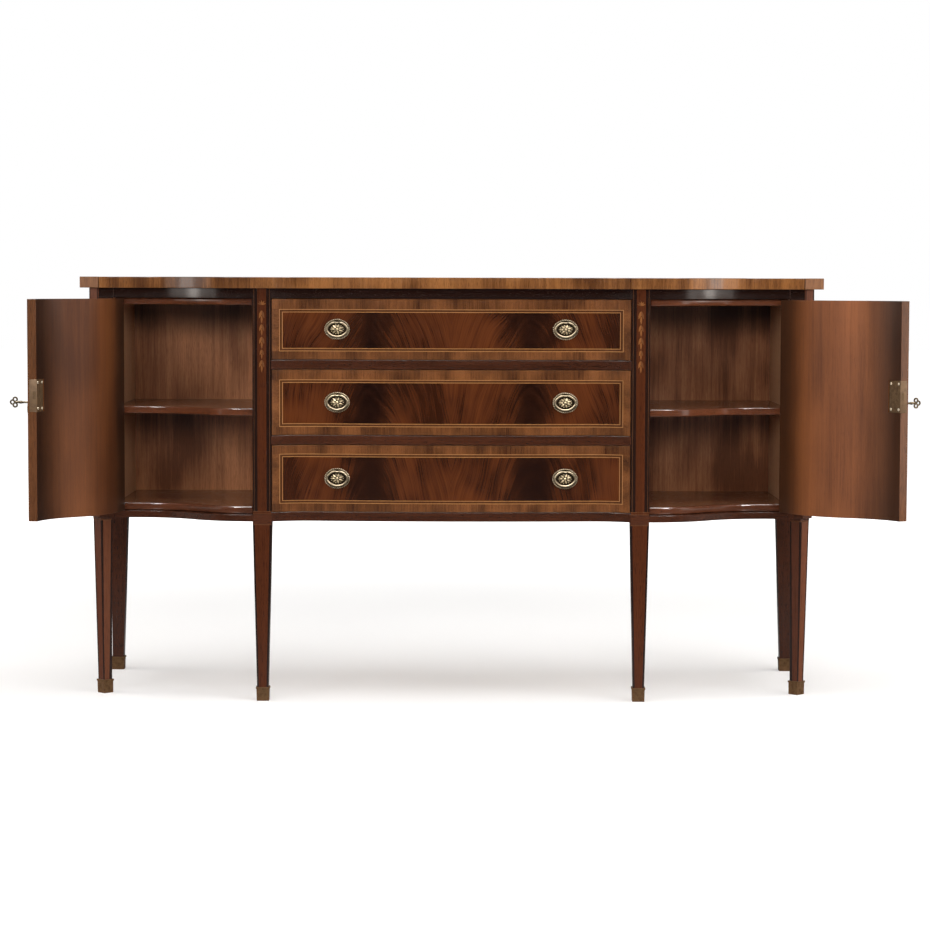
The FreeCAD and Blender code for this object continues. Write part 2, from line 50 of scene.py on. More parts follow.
slot_of = {row["node"]: row["material_slot"] for row in frame["record"]["subparts"]}
bodies = frame["record"]["behaviour"]["bodies"]
body_of = {node: body for body, nodes in bodies.items() for node in nodes}
joints = {joint["name"]: joint for joint in frame["joints"]}
sides = {"left": -1, "right": 1}
drawers = ("top", "middle", "bottom")

# Case sizes that the inlay and fittings follow
slab_low, slab_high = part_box("top_panel")
post_low, post_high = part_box("inner_post_right")
lock_low, lock_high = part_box("lock_case_right")
face_y = post_low.y
stile_setback = 0.102
stile_y = face_y + stile_setback
post_x = (post_low.x + post_high.x) / 2
post_half = (post_high.x - post_low.x) / 2
case_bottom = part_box("bottom_rail_centre")[0].z
leg_shoulder = 0.005
leg_top = case_bottom - leg_shoulder
leg_base = 0.003
inner_foot_half = 0.0120
corner_leg_x = 0.79259
corner_leg_half = 0.0155
corner_foot_half = 0.0110
corner_cant = 0.023
corner_facet_half = 0.0118
cant_seam = 0.79409
cant_line = 0.0016
slab_band = 0.040
slab_string = 0.0018
door_in = 0.4435
door_out = 0.7610
door_thick = 0.020
lock_length = 0.040
lock_proud = 0.001
hinge_inset = 0.070
pull_x = 0.254
pull_y = -0.24878
pull_slope = 4.16
pull_half = (0.0285, 0.0230)
pull_rim = 0.0030
rim_height = 0.0035
boss_half = (0.0170, 0.0125)
boss_top = 0.0049

# Rounding of the edges, and the lines in front of which a piece has its edges rounded
arris = {
    "slab": 0.0012, "front": 0.0009, "inner_post": 0.0011, "corner_post": 0.0010,
    "rear_post": 0.0012, "rail": 0.0007, "board": 0.0055,
}
drawer_face_y = -0.2262
drawer_round_x = 0.3
rail_face_y = -0.140
board_face_y = -0.1385

# Inlay: edges of the stringing, in from the sides and in from the top and bottom
string_in = (0.0158, 0.0172, 0.0219, 0.0233)
string_down = (0.0180, 0.0194, 0.0238, 0.0252)
string_lower = {"top": 0.0045, "middle": 0.0040, "bottom": 0.0015}
leg_band = 0.0042
cuff_lines = [
    (case_bottom + low, case_bottom + high)
    for low, high in ((-0.0075, -0.0063), (0.0168, 0.0180), (0.0222, 0.0234))
]
cuff_top = cuff_lines[2][1]
post_stripes = (0.0100, 0.0168, 0.0176)

X, Y, Z = Vector((1, 0, 0)), Vector((0, 1, 0)), Vector((0, 0, 1))


# Nodes


def node(tree, kind, wires, **settings):
    """Adds a node with its settings, and wires or values at its inputs."""
    made = tree.nodes.new("ShaderNode" + kind)
    for name, value in settings.items():
        setattr(made, name, value)
    for name, value in wires.items():
        if isinstance(value, bpy.types.NodeSocket):
            tree.links.new(value, made.inputs[name])
        else:
            made.inputs[name].default_value = value
    return made


def reckon(tree, operation, a, b=0.0):
    """One step of arithmetic."""
    return node(tree, "Math", {0: a, 1: b}, operation=operation).outputs[0]


def add_share(tree, total, part, share):
    """A total with a share of another value added."""
    return reckon(tree, "ADD", total, reckon(tree, "MULTIPLY", part, share))


def stretch(tree, place, across, depth, along):
    """A place scaled along its three axes."""
    scales = (across, depth, along)
    return node(tree, "VectorMath", {0: place, 1: scales}, operation="MULTIPLY").outputs[0]


def fibres(tree, place, detail, distortion=0.0):
    """Noise over a stretched place."""
    wires = {
        "Vector": place, "Scale": 1.0, "Detail": detail, "Roughness": 0.6,
        "Distortion": distortion,
    }
    return node(tree, "TexNoise", wires).outputs["Fac"]


def swings(tree, place, detail, distortion=0.0):
    """Noise over a stretched place, about zero."""
    return reckon(tree, "SUBTRACT", fibres(tree, place, detail, distortion), 0.5)


def ramp(tree, value, low, high, to_low=0.0, to_high=1.0):
    """A soft step between two values."""
    wires = {
        "Value": value, "From Min": low, "From Max": high, "To Min": to_low, "To Max": to_high,
    }
    return node(tree, "MapRange", wires, interpolation_type="SMOOTHSTEP").outputs[0]


def blend(tree, share, first, second, kind="MIX"):
    """Two colours mixed by a share."""
    wires = {0: share, 6: first, 7: second}
    return node(tree, "Mix", wires, data_type="RGBA", blend_type=kind).outputs[2]


def new_group(name, inputs):
    """A node group that puts out a colour, a roughness and a height.

    Each socket has a letter: C is a colour, V a vector and F a number.
    """
    outputs = [("Colour", "C"), ("Roughness", "F"), ("Height", "F")]
    kinds = {"C": "NodeSocketColor", "V": "NodeSocketVector", "F": "NodeSocketFloat"}
    tree = bpy.data.node_groups.new(name, "ShaderNodeTree")
    for way, sockets in (("INPUT", inputs), ("OUTPUT", outputs)):
        for label, kind in sockets:
            tree.interface.new_socket(label, in_out=way, socket_type=kinds[kind])
    given = tree.nodes.new("NodeGroupInput").outputs
    return tree, given, tree.nodes.new("NodeGroupOutput").inputs


def make_grain():
    """Straight mahogany grain on the third axis: broad streaks, fine fibre, clouds and pores."""
    sockets = [("Place", "V"), ("Light", "C"), ("Dark", "C"), ("Contrast", "F")]
    sockets += [("Cloud", "F"), ("Pores", "F"), ("Polish", "F")]
    tree, given, result = new_group("mahogany_grain", sockets)
    place = given["Place"]
    streaks = fibres(tree, stretch(tree, place, 95, 95, 2.2), 4, 0.6)
    fine = fibres(tree, stretch(tree, place, 520, 520, 11), 2)
    cloud = fibres(tree, stretch(tree, place, 6, 6, 2.5), 2)
    flecks = ramp(tree, fibres(tree, stretch(tree, place, 1700, 1700, 60), 0), 0.60, 0.72)
    tone = 0.0
    for part, share in ((streaks, 0.42), (fine, 0.26), (cloud, given["Cloud"])):
        tone = add_share(tree, tone, reckon(tree, "SUBTRACT", part, 0.5), share)
    tone = reckon(tree, "MULTIPLY", tone, given["Contrast"])
    tone = node(tree, "Clamp", {0: reckon(tree, "ADD", tone, 0.5)}).outputs[0]
    colour = blend(tree, tone, given["Dark"], given["Light"])
    pores = reckon(tree, "MULTIPLY", flecks, given["Pores"])
    tree.links.new(blend(tree, pores, colour, given["Dark"], "MULTIPLY"), result["Colour"])
    rough = reckon(tree, "MULTIPLY", reckon(tree, "SUBTRACT", fine, 0.5), 0.16)
    rough = add_share(tree, rough, pores, 0.12)
    tree.links.new(reckon(tree, "ADD", rough, given["Polish"]), result["Roughness"])
    raised, sunk = reckon(tree, "MULTIPLY", fine, 0.35), reckon(tree, "MULTIPLY", flecks, 0.6)
    tree.links.new(reckon(tree, "SUBTRACT", raised, sunk), result["Height"])
    return tree


def make_flame():
    """Crotch mahogany, matched about the middle: dark spines with streaks that fan down."""
    sockets = [("Place", "V"), ("Spine", "F"), ("Lean", "F"), ("Spread", "F")]
    sockets += [("Ember", "C"), ("Umber", "C"), ("Char", "C"), ("Polish", "F")]
    tree, given, result = new_group("flame_figure", sockets)
    place = given["Place"]
    split = node(tree, "SeparateXYZ", {0: place}).outputs
    waver = swings(tree, stretch(tree, place, 9, 9, 5), 1)
    off = reckon(tree, "SUBTRACT", reckon(tree, "ABSOLUTE", split[0]), given["Spine"])
    off = add_share(tree, off, waver, 0.05)
    off = reckon(tree, "SQRT", reckon(tree, "ADD", reckon(tree, "MULTIPLY", off, off), 0.0003))
    fan = reckon(tree, "MULTIPLY", ramp(tree, off, 0.0, 0.22, 1.0, 0.35), given["Lean"])
    lean = add_share(tree, off, split[2], fan)
    along = node(tree, "CombineXYZ", {0: lean, 1: split[1], 2: split[2]}).outputs[0]
    plumes = swings(tree, stretch(tree, along, 48, 4, 2.2), 2, 0.2)
    streaks = swings(tree, stretch(tree, along, 170, 20, 4), 3, 0.2)
    fine = swings(tree, stretch(tree, along, 640, 60, 14), 2)
    cloud = swings(tree, stretch(tree, place, 9, 9, 6), 2)
    heat, edge = 0.5, off
    shares = ((plumes, 0.8, 0.055), (streaks, 0.75, 0.045), (fine, 1.3, 0.04), (cloud, 2.4, 0.08))
    for part, share, tear in shares:
        heat = add_share(tree, heat, part, share)
        edge = add_share(tree, edge, part, tear)
    colour = blend(tree, ramp(tree, heat, -0.1, 1.1), given["Umber"], given["Ember"])
    smoke = ramp(tree, reckon(tree, "DIVIDE", edge, given["Spread"]), 0.0, 0.66, 0.95, 0.0)
    smoke = reckon(tree, "MAXIMUM", smoke, ramp(tree, off, 0.014, 0.054, 0.90, 0.0))
    colour = blend(tree, smoke, colour, given["Char"])
    tree.links.new(colour, result["Colour"])
    rough = reckon(tree, "MULTIPLY", fine, 0.14)
    tree.links.new(reckon(tree, "ADD", rough, given["Polish"]), result["Roughness"])
    tree.links.new(reckon(tree, "MULTIPLY", fine, 0.3), result["Height"])
    return tree


def make_patina():
    """Handled brass: bright metal with tarnish in clouds and specks."""
    sockets = [("Place", "V"), ("Bright", "C"), ("Tarnish", "C"), ("Age", "F"), ("Polish", "F")]
    tree, given, result = new_group("brass_patina", sockets)
    clouds = fibres(tree, stretch(tree, given["Place"], 110, 110, 110), 3)
    specks = fibres(tree, stretch(tree, given["Place"], 900, 900, 900), 2)
    wear = add_share(tree, reckon(tree, "MULTIPLY", clouds, 0.65), specks, 0.35)
    wear = reckon(tree, "ADD", reckon(tree, "SUBTRACT", wear, 0.5), given["Age"])
    wear = ramp(tree, wear, 0.25, 0.75)
    tree.links.new(blend(tree, wear, given["Bright"], given["Tarnish"]), result["Colour"])
    tree.links.new(add_share(tree, given["Polish"], wear, 0.22), result["Roughness"])
    tree.links.new(specks, result["Height"])
    return tree


grain_group = make_grain()
flame_group = make_flame()
patina_group = make_patina()


# Finishes

relief_depth = 0.0002
lacquer_haze = 0.10


def new_finish(name):
    """A new material, with its nodes and its shader's inputs."""
    finish = bpy.data.materials.new(name)
    finish.use_nodes = True
    tree = finish.node_tree
    return finish, tree, tree.nodes["Principled BSDF"].inputs


def object_place(tree):
    return node(tree, "TexCoord", {}).outputs["Object"]


def away_from(tree, middle):
    """The object's own place, counted from a middle."""
    wires = {0: object_place(tree), 1: tuple(middle)}
    return node(tree, "VectorMath", wires, operation="SUBTRACT").outputs[0]


def measure(tree, place, axis):
    """How far a place lies along an axis."""
    wires = {0: place, 1: tuple(axis)}
    return node(tree, "VectorMath", wires, operation="DOT_PRODUCT").outputs["Value"]


def along_grain(tree, across, grain, middle=(0, 0, 0)):
    """The object's own place, turned so that the grain is the third axis."""
    moved = away_from(tree, middle)
    axes = (across, Vector(grain).cross(Vector(across)), grain)
    parts = [measure(tree, moved, axis) for axis in axes]
    return node(tree, "CombineXYZ", dict(enumerate(parts))).outputs[0]


def use_group(tree, shader, group, wires, bump=0.25):
    """Places a group in a material and wires it to the shader."""
    figure = node(tree, "Group", wires, node_tree=group)
    height = figure.outputs["Height"]
    relief = node(tree, "Bump", {"Strength": bump, "Distance": relief_depth, "Height": height})
    tree.links.new(figure.outputs["Colour"], shader["Base Color"])
    tree.links.new(figure.outputs["Roughness"], shader["Roughness"])
    tree.links.new(relief.outputs[0], shader["Normal"])


def rgba(colour):
    return (*colour, 1.0)


def wood(
    name, across, grain, light, dark, contrast=1.8, pores=0.6, polish=0.18,
    coat=0.15, gloss=0.5, cloud=0.32, fine=1.0, haze=lacquer_haze,
):
    """A lacquered wood with its grain along a direction; haze is the coat's roughness."""
    finish, tree, shader = new_finish(name)
    wires = {
        "Place": stretch(tree, along_grain(tree, across, grain), fine, fine, fine),
        "Light": rgba(light), "Dark": rgba(dark), "Contrast": contrast,
        "Cloud": cloud, "Pores": pores, "Polish": polish,
    }
    use_group(tree, shader, grain_group, wires)
    shader["Specular IOR Level"].default_value = gloss
    shader["Coat Weight"].default_value = coat
    shader["Coat Roughness"].default_value = haze
    return finish


def flame(name, middle, across, spine, spread, lean=0.45):
    """Polished flame veneer, with its plumes at the spine's distance from the middle."""
    finish, tree, shader = new_finish(name)
    wires = {
        "Place": along_grain(tree, across, Z, middle),
        "Spine": spine, "Spread": spread, "Lean": lean, "Polish": 0.16,
        "Ember": rgba((0.090, 0.0230, 0.0059)), "Umber": rgba((0.024, 0.0056, 0.0017)),
        "Char": rgba((0.008, 0.0022, 0.0012)),
    }
    use_group(tree, shader, flame_group, wires, bump=0.2)
    shader["Coat Weight"].default_value = 0.15
    shader["Coat Roughness"].default_value = lacquer_haze
    return finish


def brass(name, bright, tarnish, age, polish, metal=1.0):
    """Brass with its tarnish; less metal makes it duller."""
    finish, tree, shader = new_finish(name)
    wires = {
        "Place": object_place(tree), "Bright": rgba(bright), "Tarnish": rgba(tarnish),
        "Age": age, "Polish": polish,
    }
    use_group(tree, shader, patina_group, wires)
    shader["Metallic"].default_value = metal
    return finish


golden = ((0.184, 0.066, 0.0205), (0.040, 0.0128, 0.0043))
crossband = {"contrast": 2.8, "cloud": 0.80, "fine": 3.2}
crossband_upright = wood("crossband_upright", X, Z, *golden, **crossband)
crossband_level = wood("crossband_level", Z, X, *golden, **crossband)
crossband_inward = wood("crossband_inward", X, Y, *golden, contrast=4.0, cloud=0.6, fine=1.5)
door_inside = ((0.226, 0.070, 0.0180), (0.095, 0.027, 0.0070))
# Painted shade: the left door's inside is darker than the right's, as less light falls on it
door_inside_painted_shade = {"left": 0.64, "right": 1.0}
door_plume_z = 0.64
slab_edge = wood(
    "slab_edge_crossband", X, Z, (0.252, 0.099, 0.027), (0.070, 0.0235, 0.0064),
    contrast=3.0, coat=0.3, cloud=1.5, fine=1.5,
)
slab_cant = wood(
    "slab_corner_crossband", X, Z, (0.232, 0.095, 0.034), (0.104, 0.041, 0.0145),
    contrast=2.4, pores=0.6, polish=0.42, coat=0.0, gloss=0.10,
)
slab_field = wood(
    "slab_field", Y, X, (0.180, 0.057, 0.019), (0.062, 0.018, 0.0065),
    contrast=3.0, pores=0.3, polish=0.20, coat=0.3, cloud=0.3,
)
case_field = wood(
    "post_field", X, Z, (0.098, 0.025, 0.008), (0.034, 0.009, 0.003),
    gloss=0.25, coat=0.08,
)
corner_field = wood(
    "corner_facet", X, Z, (0.142, 0.042, 0.018), (0.062, 0.018, 0.008),
    contrast=1.8, pores=0.6, polish=0.40, coat=0.0, gloss=0.05,
)
corner_leg_field = wood(
    "corner_leg_field", X, Z, (0.112, 0.031, 0.0125), (0.045, 0.0125, 0.005),
    contrast=1.8, pores=0.6, polish=0.30, gloss=0.3,
)
# Painted light: a lighter copy of the corner leg's field, for the faces turned to the right as if lit from there
corner_leg_painted_light = wood(
    "corner_leg_painted_light", X, Z, (0.160, 0.050, 0.0205), (0.066, 0.020, 0.008),
    contrast=1.8, pores=0.6, polish=0.30, gloss=0.3,
)
case_mahogany = wood("case_mahogany", X, Z, (0.066, 0.019, 0.008), (0.022, 0.007, 0.003))
end_mahogany = wood(
    "end_mahogany", Y, Z, (0.105, 0.030, 0.012), (0.036, 0.010, 0.004),
    contrast=2.6, cloud=0.5,
)
# Painted highlight: the hinge stile's inner face, far lighter than the case, stands in for light catching the
# cupboard's front edge
stile_inside_painted_light = wood(
    "stile_inside_painted_light", Y, Z, (0.340, 0.140, 0.062), (0.180, 0.070, 0.030),
    contrast=1.8, pores=0.3, polish=0.30,
)
case_dark = wood("post_edge_band", X, Z, (0.022, 0.007, 0.004), (0.008, 0.003, 0.002))
corner_dark = wood(
    "corner_edge_band", X, Z, (0.030, 0.010, 0.005), (0.012, 0.004, 0.002),
    contrast=1.8, pores=0.6, polish=0.45, coat=0.0, gloss=0.03,
)
rail_mahogany = wood(
    "rail_mahogany", Z, X, (0.070, 0.020, 0.008), (0.024, 0.007, 0.003),
    contrast=3.0,
)
# Near black: dark mahogany with painted shade standing in for the shadow under the top's overhang
frieze_mahogany_painted_shade = wood(
    "frieze_mahogany_painted_shade", Z, X, (0.018, 0.0044, 0.0016), (0.007, 0.0018, 0.0008),
    polish=0.20, coat=0.8, haze=0.20,
)
lip_mahogany = wood(
    "lip_mahogany", Z, X, (0.150, 0.045, 0.018), (0.066, 0.019, 0.008),
    contrast=2.6, coat=1.0,
)
cuff_band = wood("leg_cuff", Z, X, (0.090, 0.027, 0.011), (0.034, 0.010, 0.004))
interior_upright = wood(
    "interior_upright", X, Z, (0.540, 0.225, 0.100), (0.150, 0.052, 0.022),
    contrast=2.9, pores=0.4, polish=0.34, coat=0.1, cloud=1.5,
)
# Painted light: the cupboard sides are much lighter than the other inside wood, standing in for light from the
# front and side
cupboard_side_painted_light = wood(
    "cupboard_side_painted_light", Y, Z, (0.820, 0.480, 0.265), (0.540, 0.290, 0.152),
    contrast=2.0, pores=0.7, polish=0.40, coat=0.1,
)
back_wood = wood(
    "back_wood", X, Z, (0.230, 0.110, 0.052), (0.100, 0.045, 0.021),
    contrast=2.2, pores=0.7, polish=0.50, coat=0.0,
)
interior_level = wood(
    "interior_level", Y, X, (0.290, 0.118, 0.052), (0.110, 0.042, 0.018),
    contrast=2.4, pores=0.4, polish=0.22, coat=0.1, cloud=0.7,
)
door_edge = wood("door_edge", X, Z, (0.150, 0.056, 0.021), (0.060, 0.022, 0.009), contrast=3.0)
lining_wood = wood(
    "drawer_lining", X, Y, (0.480, 0.300, 0.155), (0.300, 0.170, 0.080),
    contrast=1.4, pores=0.5, polish=0.55, coat=0.0,
)
lining_level = wood(
    "drawer_lining_level", Z, X, (0.480, 0.300, 0.155), (0.300, 0.170, 0.080),
    contrast=1.4, pores=0.5, polish=0.55, coat=0.0,
)
boxwood = wood(
    "boxwood_string", X, Z, (0.385, 0.180, 0.054), (0.235, 0.100, 0.030),
    contrast=2.0, pores=0.2, polish=0.30, coat=0.0, gloss=0.2,
)
boxwood_shaded = wood(
    "boxwood_scorched", X, Z, (0.140, 0.056, 0.020), (0.060, 0.022, 0.008),
    contrast=2.0, pores=0.2, polish=0.24, coat=0.1,
)
husk_light = wood(
    "husk_boxwood", X, Z, (0.250, 0.092, 0.023), (0.140, 0.048, 0.012),
    contrast=2.0, pores=0.2, polish=0.36, coat=0.0, gloss=0.12,
)
husk_shaded = wood(
    "husk_boxwood_scorched", X, Z, (0.155, 0.056, 0.016), (0.080, 0.027, 0.008),
    contrast=2.0, pores=0.2, polish=0.36, coat=0.0, gloss=0.12,
)
string_gap = wood(
    "string_gap", X, Z, (0.088, 0.029, 0.010), (0.040, 0.013, 0.005),
    contrast=1.8, pores=0.2, polish=0.18, coat=0.1,
)
dark_line = wood(
    "dark_string", X, Z, (0.016, 0.005, 0.003), (0.006, 0.002, 0.001),
    contrast=1.2, pores=0.2, polish=0.18, coat=0.1,
)

bail_brass = brass(
    "pull_ring_brass", (0.45, 0.36, 0.245), (0.17, 0.122, 0.075),
    age=0.38, polish=0.34,
)
petal_brass = brass(
    "patera_brass", (0.62, 0.485, 0.295), (0.27, 0.195, 0.110),
    age=0.38, polish=0.32, metal=0.7,
)
lock_brass = brass(
    "lock_brass", (0.18, 0.110, 0.052), (0.07, 0.040, 0.019),
    age=0.50, polish=0.42, metal=0.6,
)
selvedge_brass = brass(
    "selvedge_brass", (0.170, 0.100, 0.049), (0.094, 0.053, 0.027),
    age=0.42, polish=0.46, metal=0.4,
)
screw_brass = brass(
    "screw_brass", (0.86, 0.76, 0.58), (0.50, 0.40, 0.26),
    age=0.30, polish=0.28, metal=0.5,
)
key_brass = brass("key_brass", (0.30, 0.24, 0.16), (0.060, 0.044, 0.030), age=0.50, polish=0.34)
sabot_brass = brass(
    "sabot_brass", (0.215, 0.116, 0.052), (0.074, 0.038, 0.018),
    age=0.44, polish=0.44, metal=0.8,
)
drawer_flame = flame(
    "drawer_flame", (0, 0, (case_bottom + slab_low.z) / 2), X,
    spine=0.178, spread=0.150,
)


def make_plate_brass():
    """The pull plates' brass, dark with age and black in the recess round the boss."""
    finish, tree, shader = new_finish("pull_plate_brass")
    place = object_place(tree)
    split = node(tree, "SeparateXYZ", {0: place}).outputs
    slope = math.radians(pull_slope)
    across = reckon(tree, "SUBTRACT", reckon(tree, "ABSOLUTE", split[0]), pull_x)
    across = reckon(tree, "MULTIPLY", across, math.sin(slope))
    back = reckon(tree, "SUBTRACT", split[1], pull_y)
    out = reckon(tree, "SUBTRACT", across, reckon(tree, "MULTIPLY", back, math.cos(slope)))
    age = ramp(tree, out, 0.0014, 0.0045, 1.0, 0.62)
    wires = {
        "Place": place, "Bright": rgba((0.56, 0.45, 0.27)), "Tarnish": rgba((0.045, 0.032, 0.020)),
        "Age": age, "Polish": 0.28,
    }
    use_group(tree, shader, patina_group, wires)
    shader["Metallic"].default_value = 1.0
    return finish


plate_brass = make_plate_brass()


def paint_shade_towards_ends(finish, middle, across, inner, outer, least):
    """Painted shade: darkens a board's finish from an inner distance out to its ends, down to the least share."""
    tree = finish.node_tree
    colour = tree.nodes["Principled BSDF"].inputs["Base Color"]
    away = measure(tree, away_from(tree, middle), across)
    share = ramp(tree, reckon(tree, "ABSOLUTE", away), inner, outer, 1.0, least)
    tree.links.new(blend(tree, 1.0, colour.links[0].from_socket, share, "MULTIPLY"), colour)


# Bench work


def alone(piece):
    """Leaves one piece selected and active."""
    bpy.ops.object.select_all(action="DESELECT")
    piece.select_set(True)
    bpy.context.view_layer.objects.active = piece


def pick_faces(piece, wanted):
    """Opens a piece for editing, with the faces selected whose centre and normal are wanted."""
    alone(piece)
    bpy.ops.object.mode_set(mode="EDIT")
    bpy.ops.mesh.select_mode(type="FACE")
    bpy.ops.mesh.select_all(action="DESELECT")
    bpy.ops.object.mode_set(mode="OBJECT")
    for face in piece.data.polygons:
        face.select = wanted(face.center, face.normal)
    bpy.ops.object.mode_set(mode="EDIT")


def cut(piece, wanted, point, normal):
    """Scores the wanted faces along a plane."""
    pick_faces(piece, wanted)
    bpy.ops.mesh.bisect(plane_co=point, plane_no=normal)
    bpy.ops.object.mode_set(mode="OBJECT")


def paint(piece, choose):
    """Gives each face the finish chosen for its centre and normal."""
    slots = {}
    for face in piece.data.polygons:
        finish = choose(face.center, face.normal)
        if finish.name not in slots:
            slots[finish.name] = len(slots)
            piece.data.materials.append(finish)
        face.material_index = slots[finish.name]


def settle(piece, body, slot, *nodes):
    """Puts a finished piece on its body, in place of its CAD nodes if it has any."""
    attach(piece, body)
    if nodes:
        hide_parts(*nodes)
    return piece


def bench_copy(name):
    """A copy of a CAD piece, its triangles merged into whole faces, to be worked in its stead."""
    piece = bpy.data.objects.new(name + "_dressed", frame["nodes"][name].data.copy())
    bpy.context.scene.collection.objects.link(piece)
    piece.data.materials.clear()
    alone(piece)
    bpy.ops.mesh.customdata_custom_splitnormals_clear()
    bpy.ops.object.mode_set(mode="EDIT")
    bpy.ops.mesh.select_all(action="SELECT")
    bpy.ops.mesh.remove_doubles(threshold=1e-6)
    bpy.ops.mesh.dissolve_limited(angle_limit=math.radians(0.4))
    bpy.ops.object.mode_set(mode="OBJECT")
    return settle(piece, body_of[name], slot_of[name], name)


def apply_all(piece):
    """Applies a piece's modifiers."""
    alone(piece)
    for modifier in list(piece.modifiers):
        bpy.ops.object.modifier_apply(modifier=modifier.name)


def soften(piece, width, wanted=lambda start, end: True):
    """Rounds the wanted sharp edges."""
    alone(piece)
    bpy.ops.object.mode_set(mode="EDIT")
    bpy.ops.mesh.select_mode(type="EDGE")
    bpy.ops.mesh.select_all(action="DESELECT")
    bpy.ops.mesh.edges_select_sharp(sharpness=math.radians(30))
    bpy.ops.object.mode_set(mode="OBJECT")
    places = [vertex.co for vertex in piece.data.vertices]
    for edge in piece.data.edges:
        start, end = (places[i] for i in edge.vertices)
        edge.select = edge.select and wanted(start, end)
    bpy.ops.object.mode_set(mode="EDIT")
    bpy.ops.transform.edge_bevelweight(value=1.0)
    bpy.ops.object.mode_set(mode="OBJECT")
    rounding = piece.modifiers.new("arris", "BEVEL")
    rounding.limit_method = "WEIGHT"
    rounding.width = width
    rounding.segments = 3
    apply_all(piece)


def level_edge(start, end):
    return abs(start.z - end.z) < 1e-5


def smooth(piece, angle=35):
    """Smooth shading that keeps broad faces flat."""
    alone(piece)
    bpy.ops.object.shade_smooth_by_angle(angle=math.radians(angle))
    even = piece.modifiers.new("even", "WEIGHTED_NORMAL")
    even.keep_sharp = True
    apply_all(piece)


def finish_node(name, finish):
    """Gives a CAD piece one finish all over."""
    slots = frame["nodes"][name].material_slots
    for slot in slots:
        slot.material = finish
    if not slots:
        frame["nodes"][name].data.materials.append(finish)


# Top


def make_slab():
    """The top: a crossband and a string let into its upper face, and a crossband on its edge."""
    slab = bench_copy("top_panel")
    soften(slab, arris["slab"])
    pick_faces(slab, lambda c, n: n.z > 0.99)
    for width in (slab_band, slab_string):
        bpy.ops.mesh.inset(thickness=width, use_even_offset=True)
    bpy.ops.object.mode_set(mode="OBJECT")
    field = next(face for face in slab.data.polygons if face.select)
    field_centre, field_corners = field.center.copy(), set(field.vertices)
    string = [
        face.center.copy() for face in slab.data.polygons
        if face.normal.z > 0.99 and not face.select and field_corners & set(face.vertices)
    ]
    for sign in sides.values():
        seam = (sign * (cant_seam - cant_line), 0, 0)
        cut(slab, lambda c, n: n.y < -0.9 and c.x * sign > 0.7, seam, X)

    def choose(c, n):
        if n.z > 0.99:
            if (c - field_centre).length < 1e-6:
                return slab_field
            if any((c - place).length < 1e-6 for place in string):
                return boxwood
            return crossband_level if abs(c.x) > slab_high.x - slab_band else crossband_inward
        if n.z < -0.9:
            return case_mahogany
        if n.y < -0.9 and cant_seam - cant_line < abs(c.x) < cant_seam:
            return dark_line
        return slab_cant if abs(c.x) > cant_seam else slab_edge

    paint(slab, choose)
    smooth(slab)


# Veneered fronts


def string_front(piece, front, middle, across, half, low, high):
    """Scores a front for its crossband and strings, and returns the finish for a place on it."""
    for inset in string_in:
        for sign in (-1, 1):
            cut(piece, front, middle + across * sign * (half - inset), across)
    for inset in string_down:
        for level in (low + inset, high - inset):
            cut(piece, front, (0, 0, level), Z)

    def choose(c, field, level_band):
        beside = half - abs((c - middle).dot(across))
        below = min(c.z - low, high - c.z)
        rings = sum(beside > a and below > b for a, b in zip(string_in, string_down))
        if rings == 0:
            return crossband_upright if below < string_down[0] else level_band
        return (None, boxwood, string_gap, boxwood, field)[rings]

    return choose


def make_drawer_front(name):
    """A serpentine drawer front in flame veneer, crossbanded and strung."""
    front_node = "drawer_front_" + name
    low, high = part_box(front_node)
    piece = bench_copy(front_node)

    def outer_edge(start, end):
        in_front = max(start.y, end.y) < drawer_face_y
        return in_front and (abs(start.x) >= drawer_round_x or level_edge(start, end))

    def front(c, n):
        return n.y < -0.6

    def finish(c, n):
        return choose(c, drawer_flame, crossband_level) if n.y < -0.5 else lining_level

    soften(piece, arris["front"], outer_edge)
    top = high.z - string_lower[name]
    choose = string_front(piece, front, Vector((0, 0, 0)), X, high.x, low.z, top)
    paint(piece, finish)
    smooth(piece)


def swing_of(side):
    """The move from the open rest place of a door to its closed place."""
    joint = joints[side + "_door_swing"]
    pivot = Matrix.Translation(joint["pos_m"])
    turn = Matrix.Rotation(math.radians(joint["range_deg"][0]), 4, Vector(joint["axis"]))
    return pivot @ turn @ pivot.inverted()


def make_door(side):
    """An ogee door, veneered outside as the drawers are and plain inside."""
    sign = sides[side]
    closing = swing_of(side)
    opening = closing.inverted()
    name = "door_" + side
    low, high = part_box(name)
    middle = opening @ Vector((sign * (door_in + door_out) / 2, face_y, 0))
    across = (opening.to_3x3() @ X) * sign
    piece = bench_copy(name)
    into_closed = closing.to_3x3()

    def outer_edge(start, end):
        return all(on_door_rim(closing @ place, low, high) for place in (start, end))

    def front(c, n):
        return (into_closed @ n).y < -0.4

    soften(piece, arris["front"], outer_edge)
    half = (door_out - door_in) / 2
    choose = string_front(piece, front, middle, across, half, low.z, high.z)
    plume = (middle.x, middle.y, door_plume_z)
    figure = flame(side + "_door_flame", plume, across, spine=0.0, spread=0.120, lean=0.5)
    level_band = wood(side + "_door_crossband_level", Z, across, *golden, **crossband)
    # Painted shade: the left door's inside colours are scaled darker than the right's
    light, dark = (Vector(colour) * door_inside_painted_shade[side] for colour in door_inside)
    inside = wood(
        side + "_door_inside", across, Z, light, dark,
        contrast=2.3, pores=0.2, polish=0.42, coat=0.0, gloss=0.3, cloud=1.1,
    )
    # Painted shade: the door's inside darkens towards both ends, where its curve turns away from the front light
    paint_shade_towards_ends(inside, middle, across, inner=0.030, outer=0.140, least=0.20)

    def finish(c, n):
        turned = into_closed @ n
        if turned.y < -0.4:
            return choose(c, figure, level_band)
        return inside if turned.y > 0.4 else door_edge

    paint(piece, finish)
    smooth(piece)


